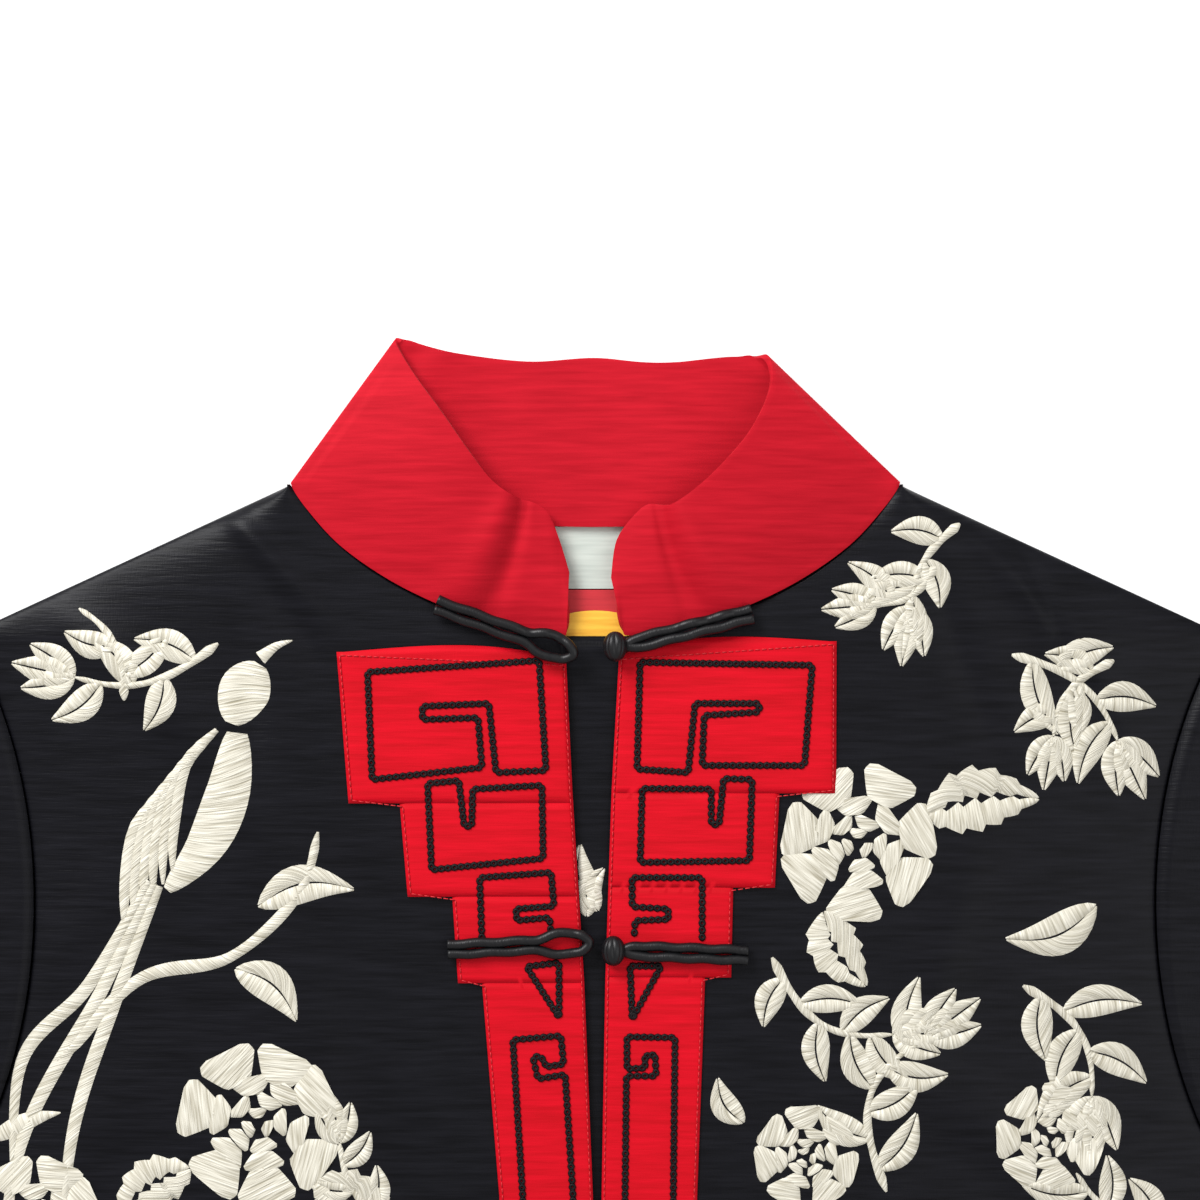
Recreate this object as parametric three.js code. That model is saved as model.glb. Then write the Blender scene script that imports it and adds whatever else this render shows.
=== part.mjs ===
// A tang jacket laid flat and face up: body, set-in sleeves, red stand collar, stepped red
// applique down both fronts, and six pairs of corded frogs, unfastened.
// Millimetres. X runs across the chest, +Y towards the collar, +Z up from the surface.
// Left and right are as seen from above. Until the last lines, X = 0 is the centre front
// and Y = 0 is the level of the points where the shoulders meet the neck.
import * as THREE from 'three';

const SEAM_GAP = 0.4;

const CLOTH = {
  thickness: 1.5,
  frontEdgeZ: 1.9,
  frontCentreZ: 4.7,
  frontLoft: 1.6,
  edgeRoundness: 6,
};

const BODY = {
  neckHalf: 107,
  neckPointY: -2.2,
  frontNeckHalf: 10.5,
  frontNeckY: -55.5,
  neckCurveX: 81,
  neckCurveY: -46.5,
  backNeckY: -16,
  shoulderX: 221,
  shoulderY: -55,
  armholeUpperX: 181,
  armholeUpperY: -122,
  armholeLowerX: 190,
  armholeLowerY: -238,
  underarmX: 258,
  underarmY: -284,
  hemSideX: 268,
  hemSideY: -652,
  hemCentreY: -662,
};

// The two front edges part in a narrow V. The columns give half the gap on each side.
const FRONT_EDGE = [
  { y: -55.5, left: 10.3, right: 8.6 },
  { y: -110, left: 7.7, right: 5.6 },
  { y: -176, left: 3.6, right: 3.4 },
  { y: -252, left: 0.5, right: 2.1 },
  { y: -662, left: 0.5, right: 1.5 },
];

const GRID = {
  sideRows: 9,
  armholeRows: 10,
  shoulderRows: 5,
  frontColumns: 9,
  sleeveRings: 12,
};

const SLEEVE = {
  cuffTopX: 721,
  cuffTopY: -368,
  cuffLowX: 641,
  cuffLowY: -495,
  thickness: 1.5,
  edgeZ: 1.9,
  topZ: 3.8,
  loft: 2.2,
  wallInset: 2.2,
};

const UNDERLAP = {
  left: -28,
  right: 30,
  top: -55.5,
  bottom: -648,
  z: 3.1,
  thickness: 1.2,
  rows: 6,
  columns: 2,
};

const LABEL = {
  z: 1.9,
  thickness: 0.4,
  halfWidth: 32,
  paleTop: -17,
  paleBottom: -38.8,
  redTop: -39.2,
  redBottom: -68,
  ovalY: -55,
  ovalHalfWidth: 19,
  ovalHalfHeight: 8.5,
  ovalZ: 2.6,
  ovalThickness: 0.3,
};

// The collar band, section by section from the left front end, round the back, to the right
// front end. Each section runs from the neck seam to the top edge of the band's inner face.
const COLLAR_SECTIONS = [
  { seamX: -10.0, seamY: -54.2, seamZ: 5.6, topX: -12.0, topY: -21.0, topZ: 8.4 },
  { seamX: -13.0, seamY: -53.9, seamZ: 5.7, topX: -15.5, topY: -13.5, topZ: 9.2 },
  { seamX: -18.5, seamY: -53.2, seamZ: 5.8, topX: -20.5, topY: -9.2, topZ: 10.2 },
  { seamX: -33.0, seamY: -50.2, seamZ: 6.0, topX: -26.5, topY: -7.4, topZ: 12.0 },
  { seamX: -50.0, seamY: -44.8, seamZ: 6.0, topX: -34.5, topY: -2.2, topZ: 14.5 },
  { seamX: -70.0, seamY: -35.2, seamZ: 6.0, topX: -43.5, topY: 8.5, topZ: 16.0 },
  { seamX: -88.0, seamY: -22.6, seamZ: 5.8, topX: -54.0, topY: 23.5, topZ: 15.0 },
  { seamX: -100.0, seamY: -9.5, seamZ: 5.4, topX: -63.5, topY: 37.0, topZ: 11.5 },
  { seamX: -105.5, seamY: -1.0, seamZ: 4.6, topX: -70.0, topY: 48.0, topZ: 7.0 },
  { seamX: -103.0, seamY: -0.4, seamZ: 2.6, topX: -67.0, topY: 48.0, topZ: 3.0 },
  { seamX: -90.0, seamY: -5.2, seamZ: 2.5, topX: -56.0, topY: 44.5, topZ: 2.5 },
  { seamX: -52.0, seamY: -12.4, seamZ: 2.5, topX: -34.0, topY: 42.0, topZ: 2.5 },
  { seamX: 0.0, seamY: -15.4, seamZ: 2.5, topX: 0.0, topY: 42.0, topZ: 2.5 },
  { seamX: 52.0, seamY: -12.4, seamZ: 2.5, topX: 28.0, topY: 41.5, topZ: 2.5 },
  { seamX: 90.0, seamY: -5.2, seamZ: 2.5, topX: 47.0, topY: 42.0, topZ: 2.5 },
  { seamX: 103.0, seamY: -0.4, seamZ: 2.6, topX: 57.0, topY: 43.0, topZ: 3.0 },
  { seamX: 105.5, seamY: -1.0, seamZ: 4.6, topX: 61.0, topY: 42.0, topZ: 7.6 },
  { seamX: 100.0, seamY: -9.5, seamZ: 5.4, topX: 60.5, topY: 32.0, topZ: 13.5 },
  { seamX: 88.0, seamY: -22.6, seamZ: 5.8, topX: 55.0, topY: 18.0, topZ: 17.0 },
  { seamX: 70.0, seamY: -35.2, seamZ: 6.0, topX: 45.5, topY: 6.5, topZ: 17.5 },
  { seamX: 50.0, seamY: -44.8, seamZ: 6.0, topX: 35.0, topY: -3.5, topZ: 15.0 },
  { seamX: 33.0, seamY: -50.2, seamZ: 6.0, topX: 26.0, topY: -9.0, topZ: 12.0 },
  { seamX: 18.5, seamY: -53.2, seamZ: 5.8, topX: 18.5, topY: -9.4, topZ: 10.2 },
  { seamX: 13.0, seamY: -53.9, seamZ: 5.7, topX: 13.3, topY: -13.5, topZ: 9.2 },
  { seamX: 10.0, seamY: -54.2, seamZ: 5.6, topX: 8.6, topY: -21.0, topZ: 8.4 },
];

const COLLAR = {
  thickness: 2.4,
  stations: 56,
  rows: 4,
};

// Tiers of the applique, from the neck down. outer is the distance from the centre front to the
// tier's outer edge, and bottom is where the tier ends.
const APPLIQUE_TIERS = {
  left: [
    { outer: 88.5, bottom: -114 },
    { outer: 67, bottom: -146.7 },
    { outer: 49, bottom: -177 },
    { outer: 35.5, bottom: -656 },
  ],
  right: [
    { outer: 84.5, bottom: -110.5 },
    { outer: 63.8, bottom: -143.5 },
    { outer: 48, bottom: -175 },
    { outer: 36.5, bottom: -656 },
  ],
};

const APPLIQUE = {
  top: -58.5,
  thickness: 0.9,
  longestRow: 45,
};

// Broad folds of the fronts: centre, direction in degrees from +X, half length, half width, rise.
const FOLDS = [
  { x: -168, y: -62, direction: -38, halfLength: 46, halfWidth: 9, rise: 1.8 },
  { x: -140, y: -95, direction: -52, halfLength: 40, halfWidth: 10, rise: 1.4 },
  { x: -205, y: -250, direction: 40, halfLength: 60, halfWidth: 13, rise: 2.2 },
  { x: 176, y: -70, direction: -62, halfLength: 52, halfWidth: 10, rise: 2.0 },
  { x: 160, y: -240, direction: -35, halfLength: 62, halfWidth: 12, rise: 2.4 },
  { x: 215, y: -300, direction: -48, halfLength: 55, halfWidth: 12, rise: 2.0 },
  { x: -130, y: -430, direction: 78, halfLength: 130, halfWidth: 20, rise: 2.2 },
  { x: 150, y: -470, direction: 98, halfLength: 140, halfWidth: 22, rise: 2.4 },
];

const FROG_CORD = {
  radius: 1.8,
  halfSpacing: 2.1,
  sides: 6,
  steps: 15,
};

// The outer end and the head of a frog's loop side, and those of its knot side. The top frog lies
// over the neck seam, so it stands higher by its rise.
const TOP_FROG = {
  rise: 1.6,
  loopEndX: -55.5,
  loopEndY: -44.5,
  loopHeadX: -5.5,
  loopHeadY: -62,
  knotEndX: 55,
  knotEndY: -47.5,
  knotX: 7.2,
  knotY: -59,
};

const LOWER_FROG = {
  rise: 0,
  loopEndX: -51.5,
  loopEndY: -165,
  loopHeadX: 0.3,
  loopHeadY: -162.5,
  knotEndX: 53.5,
  knotEndY: -167,
  knotX: 6.4,
  knotY: -165.4,
};

const FROG_COUNT = 6;
const FROG_SPACING = 105;

const LOOP = {
  length: 17,
  halfWidth: 5.4,
};

const KNOT = {
  halfLength: 4.6,
  halfWidth: 5.4,
  halfHeight: 4.2,
  around: 12,
  along: 8,
};

const black = new THREE.MeshStandardMaterial({ color: 0x17181c, roughness: 0.6, metalness: 0 });
const bandRed = new THREE.MeshStandardMaterial({ color: 0xc21222, roughness: 0.7, metalness: 0 });
const appliqueRed = new THREE.MeshStandardMaterial({ color: 0xd6041a, roughness: 0.6, metalness: 0 });
const cordBlack = new THREE.MeshStandardMaterial({ color: 0x0d0d10, roughness: 0.45, metalness: 0 });
const labelPale = new THREE.MeshStandardMaterial({ color: 0xd5d8cf, roughness: 0.7, metalness: 0 });
const labelRed = new THREE.MeshStandardMaterial({ color: 0xb5252c, roughness: 0.7, metalness: 0 });
const labelYellow = new THREE.MeshStandardMaterial({ color: 0xe0a020, roughness: 0.6, metalness: 0 });

const garment = new THREE.Group();

function addPiece(name, geometry, material) {
  const mesh = new THREE.Mesh(geometry, material.clone());
  mesh.name = name;
  garment.add(mesh);
}

function mix(from, to, share) {
  return from + (to - from) * share;
}

function signedVolume(points, triangles) {
  let volume = 0;
  for (const [a, b, c] of triangles) {
    volume += points[a].dot(new THREE.Vector3().crossVectors(points[b], points[c])) / 6;
  }
  return volume;
}

// A closed body from its corner points and triangles, turned so that its faces point out.
function bodyGeometry(points, triangles) {
  const inward = signedVolume(points, triangles) < 0;
  const geometry = new THREE.BufferGeometry().setFromPoints(points);
  geometry.setIndex(triangles.flatMap(([a, b, c]) => (inward ? [a, c, b] : [a, b, c])));
  geometry.computeVertexNormals();
  return geometry;
}

// A wall of cloth over a grid of points. Each column is a list of points, one for each row, and
// lift gives the way from a point of the lower face to the upper face. Cells that holds() leaves
// out stay open, so the outline can be stepped.
function wallGeometry(grid, lift, holds = () => true) {
  const columns = grid.length - 1;
  const rows = grid[0].length - 1;
  const used = new Map();
  const points = [];
  const triangles = [];

  const corner = (column, row, upper) => {
    const key = `${column},${row},${upper}`;
    if (!used.has(key)) {
      const point = grid[column][row].clone();
      if (upper) {
        point.add(lift(column, row));
      }
      used.set(key, points.length);
      points.push(point);
    }
    return used.get(key);
  };
  const quad = (a, b, c, d) => {
    triangles.push([a, b, c], [a, c, d]);
  };
  const isCell = (column, row) => (
    column >= 0 && row >= 0 && column < columns && row < rows && holds(column, row)
  );
  const side = (fromColumn, fromRow, toColumn, toRow) => {
    quad(
      corner(fromColumn, fromRow, false),
      corner(toColumn, toRow, false),
      corner(toColumn, toRow, true),
      corner(fromColumn, fromRow, true),
    );
  };

  for (let column = 0; column < columns; column += 1) {
    for (let row = 0; row < rows; row += 1) {
      if (!isCell(column, row)) {
        continue;
      }
      const ring = [[column, row], [column + 1, row], [column + 1, row + 1], [column, row + 1]];
      quad(...ring.map(([c, r]) => corner(c, r, true)));
      quad(...ring.map(([c, r]) => corner(c, r, false)).reverse());
      if (!isCell(column, row - 1)) {
        side(column, row, column + 1, row);
      }
      if (!isCell(column + 1, row)) {
        side(column + 1, row, column + 1, row + 1);
      }
      if (!isCell(column, row + 1)) {
        side(column + 1, row + 1, column, row + 1);
      }
      if (!isCell(column - 1, row)) {
        side(column, row + 1, column, row);
      }
    }
  }
  return bodyGeometry(points, triangles);
}

const straightUp = (height) => () => new THREE.Vector3(0, 0, height);

// Outlines of the body, as curves from the hem or the underarm upwards.
const armhole = new THREE.CubicBezierCurve(
  new THREE.Vector2(BODY.underarmX, BODY.underarmY),
  new THREE.Vector2(BODY.armholeLowerX, BODY.armholeLowerY),
  new THREE.Vector2(BODY.armholeUpperX, BODY.armholeUpperY),
  new THREE.Vector2(BODY.shoulderX, BODY.shoulderY),
);
const sideSeam = new THREE.LineCurve(
  new THREE.Vector2(BODY.hemSideX, BODY.hemSideY),
  new THREE.Vector2(BODY.underarmX, BODY.underarmY),
);
const neckPoint = new THREE.Vector2(BODY.neckHalf, BODY.neckPointY);
const shoulderSeam = new THREE.LineCurve(
  new THREE.Vector2(BODY.shoulderX, BODY.shoulderY),
  new THREE.Vector2(BODY.neckHalf + 4, BODY.neckPointY - 2),
);
const neckSeam = new THREE.QuadraticBezierCurve(
  new THREE.Vector2(BODY.frontNeckHalf, BODY.frontNeckY),
  new THREE.Vector2(BODY.neckCurveX, BODY.neckCurveY),
  neckPoint,
);

// Stations up the side of the body: side seam, armhole, then shoulder.
function outerStations() {
  const stations = [];
  for (let row = 0; row < GRID.sideRows; row += 1) {
    stations.push(sideSeam.getPoint(row / GRID.sideRows));
  }
  for (let row = 0; row < GRID.armholeRows; row += 1) {
    stations.push(armhole.getPoint(row / GRID.armholeRows));
  }
  for (let row = 0; row <= GRID.shoulderRows; row += 1) {
    stations.push(shoulderSeam.getPoint(row / GRID.shoulderRows));
  }
  return stations;
}

function frontEdgeX(side, y) {
  const column = side < 0 ? 'left' : 'right';
  const below = FRONT_EDGE.findIndex((entry) => entry.y <= y);
  if (below <= 0) {
    return side * FRONT_EDGE[0][column];
  }
  const upper = FRONT_EDGE[below - 1];
  const lower = FRONT_EDGE[below];
  return side * mix(upper[column], lower[column], (upper.y - y) / (upper.y - lower.y));
}

// Stations up the centre front and then round the neck seam, level with the outer stations.
function innerStations(side) {
  const stations = [];
  const straightRows = GRID.sideRows + GRID.armholeRows;
  for (let row = 0; row < straightRows; row += 1) {
    const y = mix(BODY.hemCentreY, BODY.frontNeckY, row / straightRows);
    stations.push(new THREE.Vector2(frontEdgeX(side, y), y));
  }
  for (let row = 0; row <= GRID.shoulderRows; row += 1) {
    const point = neckSeam.getPoint(row / GRID.shoulderRows);
    stations.push(new THREE.Vector2(side * point.x, point.y));
  }
  return stations;
}

function foldRise(x, y) {
  let rise = 0;
  for (const fold of FOLDS) {
    const angle = THREE.MathUtils.degToRad(fold.direction);
    const along = (x - fold.x) * Math.cos(angle) + (y - fold.y) * Math.sin(angle);
    const across = (y - fold.y) * Math.cos(angle) - (x - fold.x) * Math.sin(angle);
    rise += fold.rise * Math.exp(-((along / fold.halfLength) ** 2) - (across / fold.halfWidth) ** 2);
  }
  return rise;
}

// Height of a front's lower face. share runs from the centre front or neck (0) to the outline (1).
function frontHeight(x, y, share) {
  const held = 1 - share ** CLOTH.edgeRoundness;
  const swell = CLOTH.frontLoft * Math.sin(Math.PI * share);
  return CLOTH.frontEdgeZ + held * (CLOTH.frontCentreZ - CLOTH.frontEdgeZ + swell + foldRise(x, y));
}

function addFrontPanel(name, side) {
  const inner = innerStations(side);
  const outer = outerStations();
  const grid = [];
  for (let column = 0; column <= GRID.frontColumns; column += 1) {
    const share = column / GRID.frontColumns;
    grid.push(inner.map((start, row) => {
      const x = mix(start.x, side * outer[row].x, share);
      const y = mix(start.y, outer[row].y, share);
      return new THREE.Vector3(x, y, frontHeight(x, y, share));
    }));
  }
  addPiece(name, wallGeometry(grid, straightUp(CLOTH.thickness)), black);
}

// Height of the face that the applique lies on, found on the row of the panel that crosses (x, y).
function frontTopAt(side, x, y) {
  const inner = innerStations(side);
  const outer = outerStations();
  let share = 0;
  for (let row = 0; row < inner.length - 1; row += 1) {
    const reach = side * (x - inner[row].x) / (outer[row].x - side * inner[row].x);
    const rowY = mix(inner[row].y, outer[row].y, reach);
    if (rowY <= y) {
      share = reach;
    }
  }
  return frontHeight(x, y, Math.max(0, share)) + CLOTH.thickness;
}

function addBackPanel() {
  const outer = outerStations();
  const columns = 2 * GRID.frontColumns;
  const neckRow = outer.length - 1;
  const straightRows = neckRow - GRID.shoulderRows;
  const grid = [];
  for (let column = 0; column <= columns; column += 1) {
    const across = 2 * column / columns - 1;
    grid.push(outer.map((edge, row) => {
      const neckShare = Math.max(0, row - straightRows) / GRID.shoulderRows;
      const hemShare = Math.max(0, 1 - row / straightRows);
      const hemDrop = (BODY.hemCentreY - BODY.hemSideY) * hemShare;
      const isShoulder = row > straightRows;
      const centreY = isShoulder ? mix(BODY.shoulderY, BODY.backNeckY, neckShare) : edge.y + hemDrop;
      return new THREE.Vector3(across * edge.x, mix(centreY, edge.y, across ** 2), 0);
    }));
  }
  addPiece('back_panel', wallGeometry(grid, straightUp(CLOTH.thickness)), black);
}

// A sleeve is one tube, flat underneath and slightly crowned on top, from the armhole to the cuff.
function addSleeve(name, side) {
  const cells = GRID.armholeRows;
  const ringSize = 2 * cells;
  const points = [];
  const triangles = [];

  const planPoint = (along, across) => {
    const tangent = armhole.getTangent(1 - across);
    const start = armhole.getPoint(1 - across);
    start.add(new THREE.Vector2(tangent.y, -tangent.x).multiplyScalar(2 * SEAM_GAP));
    const cuffX = mix(SLEEVE.cuffTopX, SLEEVE.cuffLowX, across);
    const cuffY = mix(SLEEVE.cuffTopY, SLEEVE.cuffLowY, across);
    return new THREE.Vector2(mix(start.x, cuffX, along), mix(start.y, cuffY, along));
  };
  const sectionPoint = (along, step, inside) => {
    const isTop = step <= cells;
    const cell = isTop ? step : ringSize - step;
    const isEdge = cell === 0 || cell === cells;
    const across = cell / cells;
    const width = planPoint(along, 0).distanceTo(planPoint(along, 1));
    const inset = inside ? SLEEVE.wallInset / width : 0;
    const plan = planPoint(along, THREE.MathUtils.clamp(across, inset, 1 - inset));
    const crown = SLEEVE.loft * Math.sin(Math.PI * across) * Math.sin(Math.PI * mix(0.04, 0.9, along));
    const wall = inside ? SLEEVE.thickness : 0;
    let z = isTop ? SLEEVE.topZ + crown - wall : wall;
    if (isEdge) {
      z = SLEEVE.edgeZ;
    }
    return new THREE.Vector3(side * plan.x, plan.y, z);
  };

  for (let ring = 0; ring <= GRID.sleeveRings; ring += 1) {
    const along = ring / GRID.sleeveRings;
    for (const inside of [false, true]) {
      for (let step = 0; step < ringSize; step += 1) {
        points.push(sectionPoint(along, step, inside));
      }
    }
  }
  const index = (ring, inside, step) => (2 * ring + (inside ? 1 : 0)) * ringSize + step % ringSize;
  const quad = (a, b, c, d) => {
    triangles.push([a, b, c], [a, c, d]);
  };
  for (let step = 0; step < ringSize; step += 1) {
    for (let ring = 0; ring < GRID.sleeveRings; ring += 1) {
      quad(
        index(ring, false, step),
        index(ring + 1, false, step),
        index(ring + 1, false, step + 1),
        index(ring, false, step + 1),
      );
      quad(
        index(ring, true, step),
        index(ring, true, step + 1),
        index(ring + 1, true, step + 1),
        index(ring + 1, true, step),
      );
    }
    const last = GRID.sleeveRings;
    quad(index(0, false, step), index(0, false, step + 1), index(0, true, step + 1), index(0, true, step));
    quad(
      index(last, false, step),
      index(last, true, step),
      index(last, true, step + 1),
      index(last, false, step + 1),
    );
  }
  addPiece(name, bodyGeometry(points, triangles), black);
}

function gridNormal(grid, column, row) {
  const columnAfter = grid[Math.min(column + 1, grid.length - 1)][row];
  const columnBefore = grid[Math.max(column - 1, 0)][row];
  const rowAfter = grid[column][Math.min(row + 1, grid[0].length - 1)];
  const rowBefore = grid[column][Math.max(row - 1, 0)];
  const along = new THREE.Vector3().subVectors(columnAfter, columnBefore);
  const across = new THREE.Vector3().subVectors(rowAfter, rowBefore);
  return across.cross(along).normalize();
}

function addCollar() {
  const seam = new THREE.CatmullRomCurve3(
    COLLAR_SECTIONS.map((section) => new THREE.Vector3(section.seamX, section.seamY, section.seamZ)),
    false,
    'centripetal',
  );
  const topEdge = new THREE.CatmullRomCurve3(
    COLLAR_SECTIONS.map((section) => new THREE.Vector3(section.topX, section.topY, section.topZ)),
    false,
    'centripetal',
  );
  const grid = [];
  for (let station = 0; station <= COLLAR.stations; station += 1) {
    const share = station / COLLAR.stations;
    const seamPoint = seam.getPoint(share);
    const topPoint = topEdge.getPoint(share);
    const column = [];
    for (let row = 0; row <= COLLAR.rows; row += 1) {
      column.push(new THREE.Vector3().lerpVectors(seamPoint, topPoint, row / COLLAR.rows));
    }
    grid.push(column);
  }
  const outward = (column, row) => gridNormal(grid, column, row).multiplyScalar(COLLAR.thickness);
  addPiece('collar_band', wallGeometry(grid, outward), bandRed);
}

function addUnderlap() {
  const grid = [];
  for (let column = 0; column <= UNDERLAP.columns; column += 1) {
    const x = mix(UNDERLAP.left, UNDERLAP.right, column / UNDERLAP.columns);
    const points = [];
    for (let row = 0; row <= UNDERLAP.rows; row += 1) {
      const y = mix(UNDERLAP.bottom, UNDERLAP.top, row / UNDERLAP.rows);
      points.push(new THREE.Vector3(x, y, UNDERLAP.z));
    }
    grid.push(points);
  }
  addPiece('underlap', wallGeometry(grid, straightUp(UNDERLAP.thickness)), black);
}

// The applique's rows start and end at its tiers, and its columns at their outer edges.
function addApplique(name, side, tiers) {
  const rowLevels = [APPLIQUE.top];
  const rowTiers = [];
  tiers.forEach((tier, index) => {
    const start = rowLevels.at(-1);
    const count = Math.ceil((start - tier.bottom) / APPLIQUE.longestRow);
    for (let step = 1; step <= count; step += 1) {
      rowLevels.push(mix(start, tier.bottom, step / count));
      rowTiers.push(index);
    }
  });
  const columnEdges = [...tiers].reverse().map((tier) => tier.outer);
  const grid = [];
  for (let column = 0; column <= tiers.length; column += 1) {
    grid.push(rowLevels.map((y) => {
      const x = column === 0 ? frontEdgeX(side, y) : side * columnEdges[column - 1];
      return new THREE.Vector3(x, y, frontTopAt(side, x, y) + SEAM_GAP);
    }));
  }
  const holds = (column, row) => column < tiers.length - rowTiers[row];
  addPiece(name, wallGeometry(grid, straightUp(APPLIQUE.thickness), holds), appliqueRed);
}

function plate(left, right, bottom, top, z, thickness) {
  const grid = [left, right].map((x) => [bottom, top].map((y) => new THREE.Vector3(x, y, z)));
  return wallGeometry(grid, straightUp(thickness));
}

function addLabels() {
  const { z, thickness, halfWidth } = LABEL;
  const pale = plate(-halfWidth, halfWidth, LABEL.paleBottom, LABEL.paleTop, z, thickness);
  addPiece('label_pale', pale, labelPale);
  const red = plate(-halfWidth, halfWidth, LABEL.redBottom, LABEL.redTop, z, thickness);
  addPiece('label_red', red, labelRed);
  const outline = new THREE.Shape();
  outline.absellipse(0, LABEL.ovalY, LABEL.ovalHalfWidth, LABEL.ovalHalfHeight, 0, 2 * Math.PI);
  const oval = new THREE.ExtrudeGeometry(outline, {
    depth: LABEL.ovalThickness,
    bevelEnabled: false,
    curveSegments: 24,
  });
  oval.translate(0, 0, LABEL.ovalZ);
  addPiece('label_oval', oval, labelYellow);
}

// Height of a cord's centre where it lies on the applique of one side.
function cordHeight(side, x, y) {
  return frontTopAt(side, x, y) + APPLIQUE.thickness + FROG_CORD.radius + 2 * SEAM_GAP;
}

// One cord doubled back on itself: out along one side of a centre line, round the head, and back.
// spread gives half the distance between the two runs at a share of the way to the head.
function doubledCord(endX, endY, headX, headY, rise, spread) {
  const end = new THREE.Vector2(endX, endY);
  const head = new THREE.Vector2(headX, headY);
  const direction = new THREE.Vector2().subVectors(head, end).normalize();
  const sideways = new THREE.Vector2(-direction.y, direction.x);
  const shares = [0, 0.2, 0.4, 0.58, 0.7, 0.78, 0.86, 0.93, 0.98];
  const side = Math.sign(endX);
  const place = (x, y) => new THREE.Vector3(x, y, cordHeight(side, x, y) + rise);
  const run = (sign) => shares.map((share) => {
    const centre = new THREE.Vector2().lerpVectors(end, head, share);
    centre.addScaledVector(sideways, sign * spread(share));
    return place(centre.x, centre.y);
  });
  const turn = place(head.x, head.y);
  const path = new THREE.CatmullRomCurve3([...run(1), turn, ...run(-1).reverse()], false, 'centripetal');
  const section = new THREE.Shape();
  for (let corner = 0; corner < FROG_CORD.sides; corner += 1) {
    const angle = 2 * Math.PI * corner / FROG_CORD.sides;
    const rim = [FROG_CORD.radius * Math.cos(angle), FROG_CORD.radius * Math.sin(angle)];
    if (corner === 0) {
      section.moveTo(...rim);
    } else {
      section.lineTo(...rim);
    }
  }
  section.closePath();
  return new THREE.ExtrudeGeometry(section, {
    steps: 2 * FROG_CORD.steps,
    extrudePath: path,
    bevelEnabled: false,
  });
}

// The loop opens near its head and closes round it.
function loopSpread(share, length) {
  const open = 1 - LOOP.length / length;
  const within = Math.max(0, (share - open) / (1 - open));
  const bulge = Math.sin(Math.PI * within ** 0.8) ** 0.7;
  return mix(FROG_CORD.halfSpacing, LOOP.halfWidth, bulge || 0);
}

function addFrog(number, frog, drop) {
  const length = Math.hypot(frog.loopHeadX - frog.loopEndX, frog.loopHeadY - frog.loopEndY);
  const loop = doubledCord(
    frog.loopEndX,
    frog.loopEndY - drop,
    frog.loopHeadX - FROG_CORD.radius,
    frog.loopHeadY - drop,
    frog.rise,
    (share) => loopSpread(share, length),
  );
  addPiece(`frog_loop_${number}`, loop, cordBlack);

  const clearance = KNOT.halfLength + FROG_CORD.radius + SEAM_GAP;
  const tail = doubledCord(
    frog.knotEndX,
    frog.knotEndY - drop,
    frog.knotX + clearance,
    frog.knotY - drop,
    frog.rise,
    () => FROG_CORD.halfSpacing,
  );
  addPiece(`frog_tail_${number}`, tail, cordBlack);

  const knot = new THREE.SphereGeometry(1, KNOT.around, KNOT.along);
  knot.scale(KNOT.halfLength, KNOT.halfWidth, KNOT.halfHeight);
  const knotY = frog.knotY - drop;
  const lift = frog.rise + KNOT.halfHeight - FROG_CORD.radius;
  knot.translate(frog.knotX, knotY, cordHeight(1, frog.knotX, knotY) + lift);
  addPiece(`frog_knot_${number}`, knot, cordBlack);
}

addBackPanel();
addLabels();
addUnderlap();
addFrontPanel('front_panel_left', -1);
addFrontPanel('front_panel_right', 1);
addSleeve('sleeve_left', -1);
addSleeve('sleeve_right', 1);
addCollar();
addApplique('applique_left', -1, APPLIQUE_TIERS.left);
addApplique('applique_right', 1, APPLIQUE_TIERS.right);
addFrog(1, TOP_FROG, 0);
for (let number = 2; number <= FROG_COUNT; number += 1) {
  addFrog(number, LOWER_FROG, (number - 2) * FROG_SPACING);
}

// The origin is under the middle of the laid jacket, on the surface it lies on.
const extent = new THREE.Box3().setFromObject(garment);
garment.position.set(
  -(extent.min.x + extent.max.x) / 2,
  -(extent.min.y + extent.max.y) / 2,
  -extent.min.z,
);

export default garment;
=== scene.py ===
"""A tang jacket laid flat: cloth shells, collar, applique, frogs and embroidery on the CAD frame."""
import logging
import math
import random
from dataclasses import dataclass, field
from enum import Enum
from typing import Callable

import bmesh
import bpy
from mathutils import Matrix, Vector
from mathutils.bvhtree import BVHTree


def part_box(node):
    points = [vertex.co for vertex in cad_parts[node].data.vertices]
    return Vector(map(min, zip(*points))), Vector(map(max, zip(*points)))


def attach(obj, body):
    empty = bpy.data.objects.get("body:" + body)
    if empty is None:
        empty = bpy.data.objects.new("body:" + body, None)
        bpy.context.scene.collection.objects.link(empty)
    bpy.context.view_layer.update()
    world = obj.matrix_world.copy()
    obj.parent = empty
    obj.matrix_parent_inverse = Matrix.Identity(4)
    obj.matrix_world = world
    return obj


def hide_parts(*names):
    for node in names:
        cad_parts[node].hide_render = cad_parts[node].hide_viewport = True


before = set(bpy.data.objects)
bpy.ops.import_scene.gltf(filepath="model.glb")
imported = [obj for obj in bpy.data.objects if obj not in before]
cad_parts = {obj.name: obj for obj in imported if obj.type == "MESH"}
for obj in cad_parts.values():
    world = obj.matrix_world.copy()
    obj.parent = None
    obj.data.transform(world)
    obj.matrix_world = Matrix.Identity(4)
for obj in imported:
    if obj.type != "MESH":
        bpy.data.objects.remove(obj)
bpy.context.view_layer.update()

MM = 0.001
HEM_Y = -662.0
SHIFT_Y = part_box("back_panel")[0][1] / MM - HEM_Y
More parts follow.
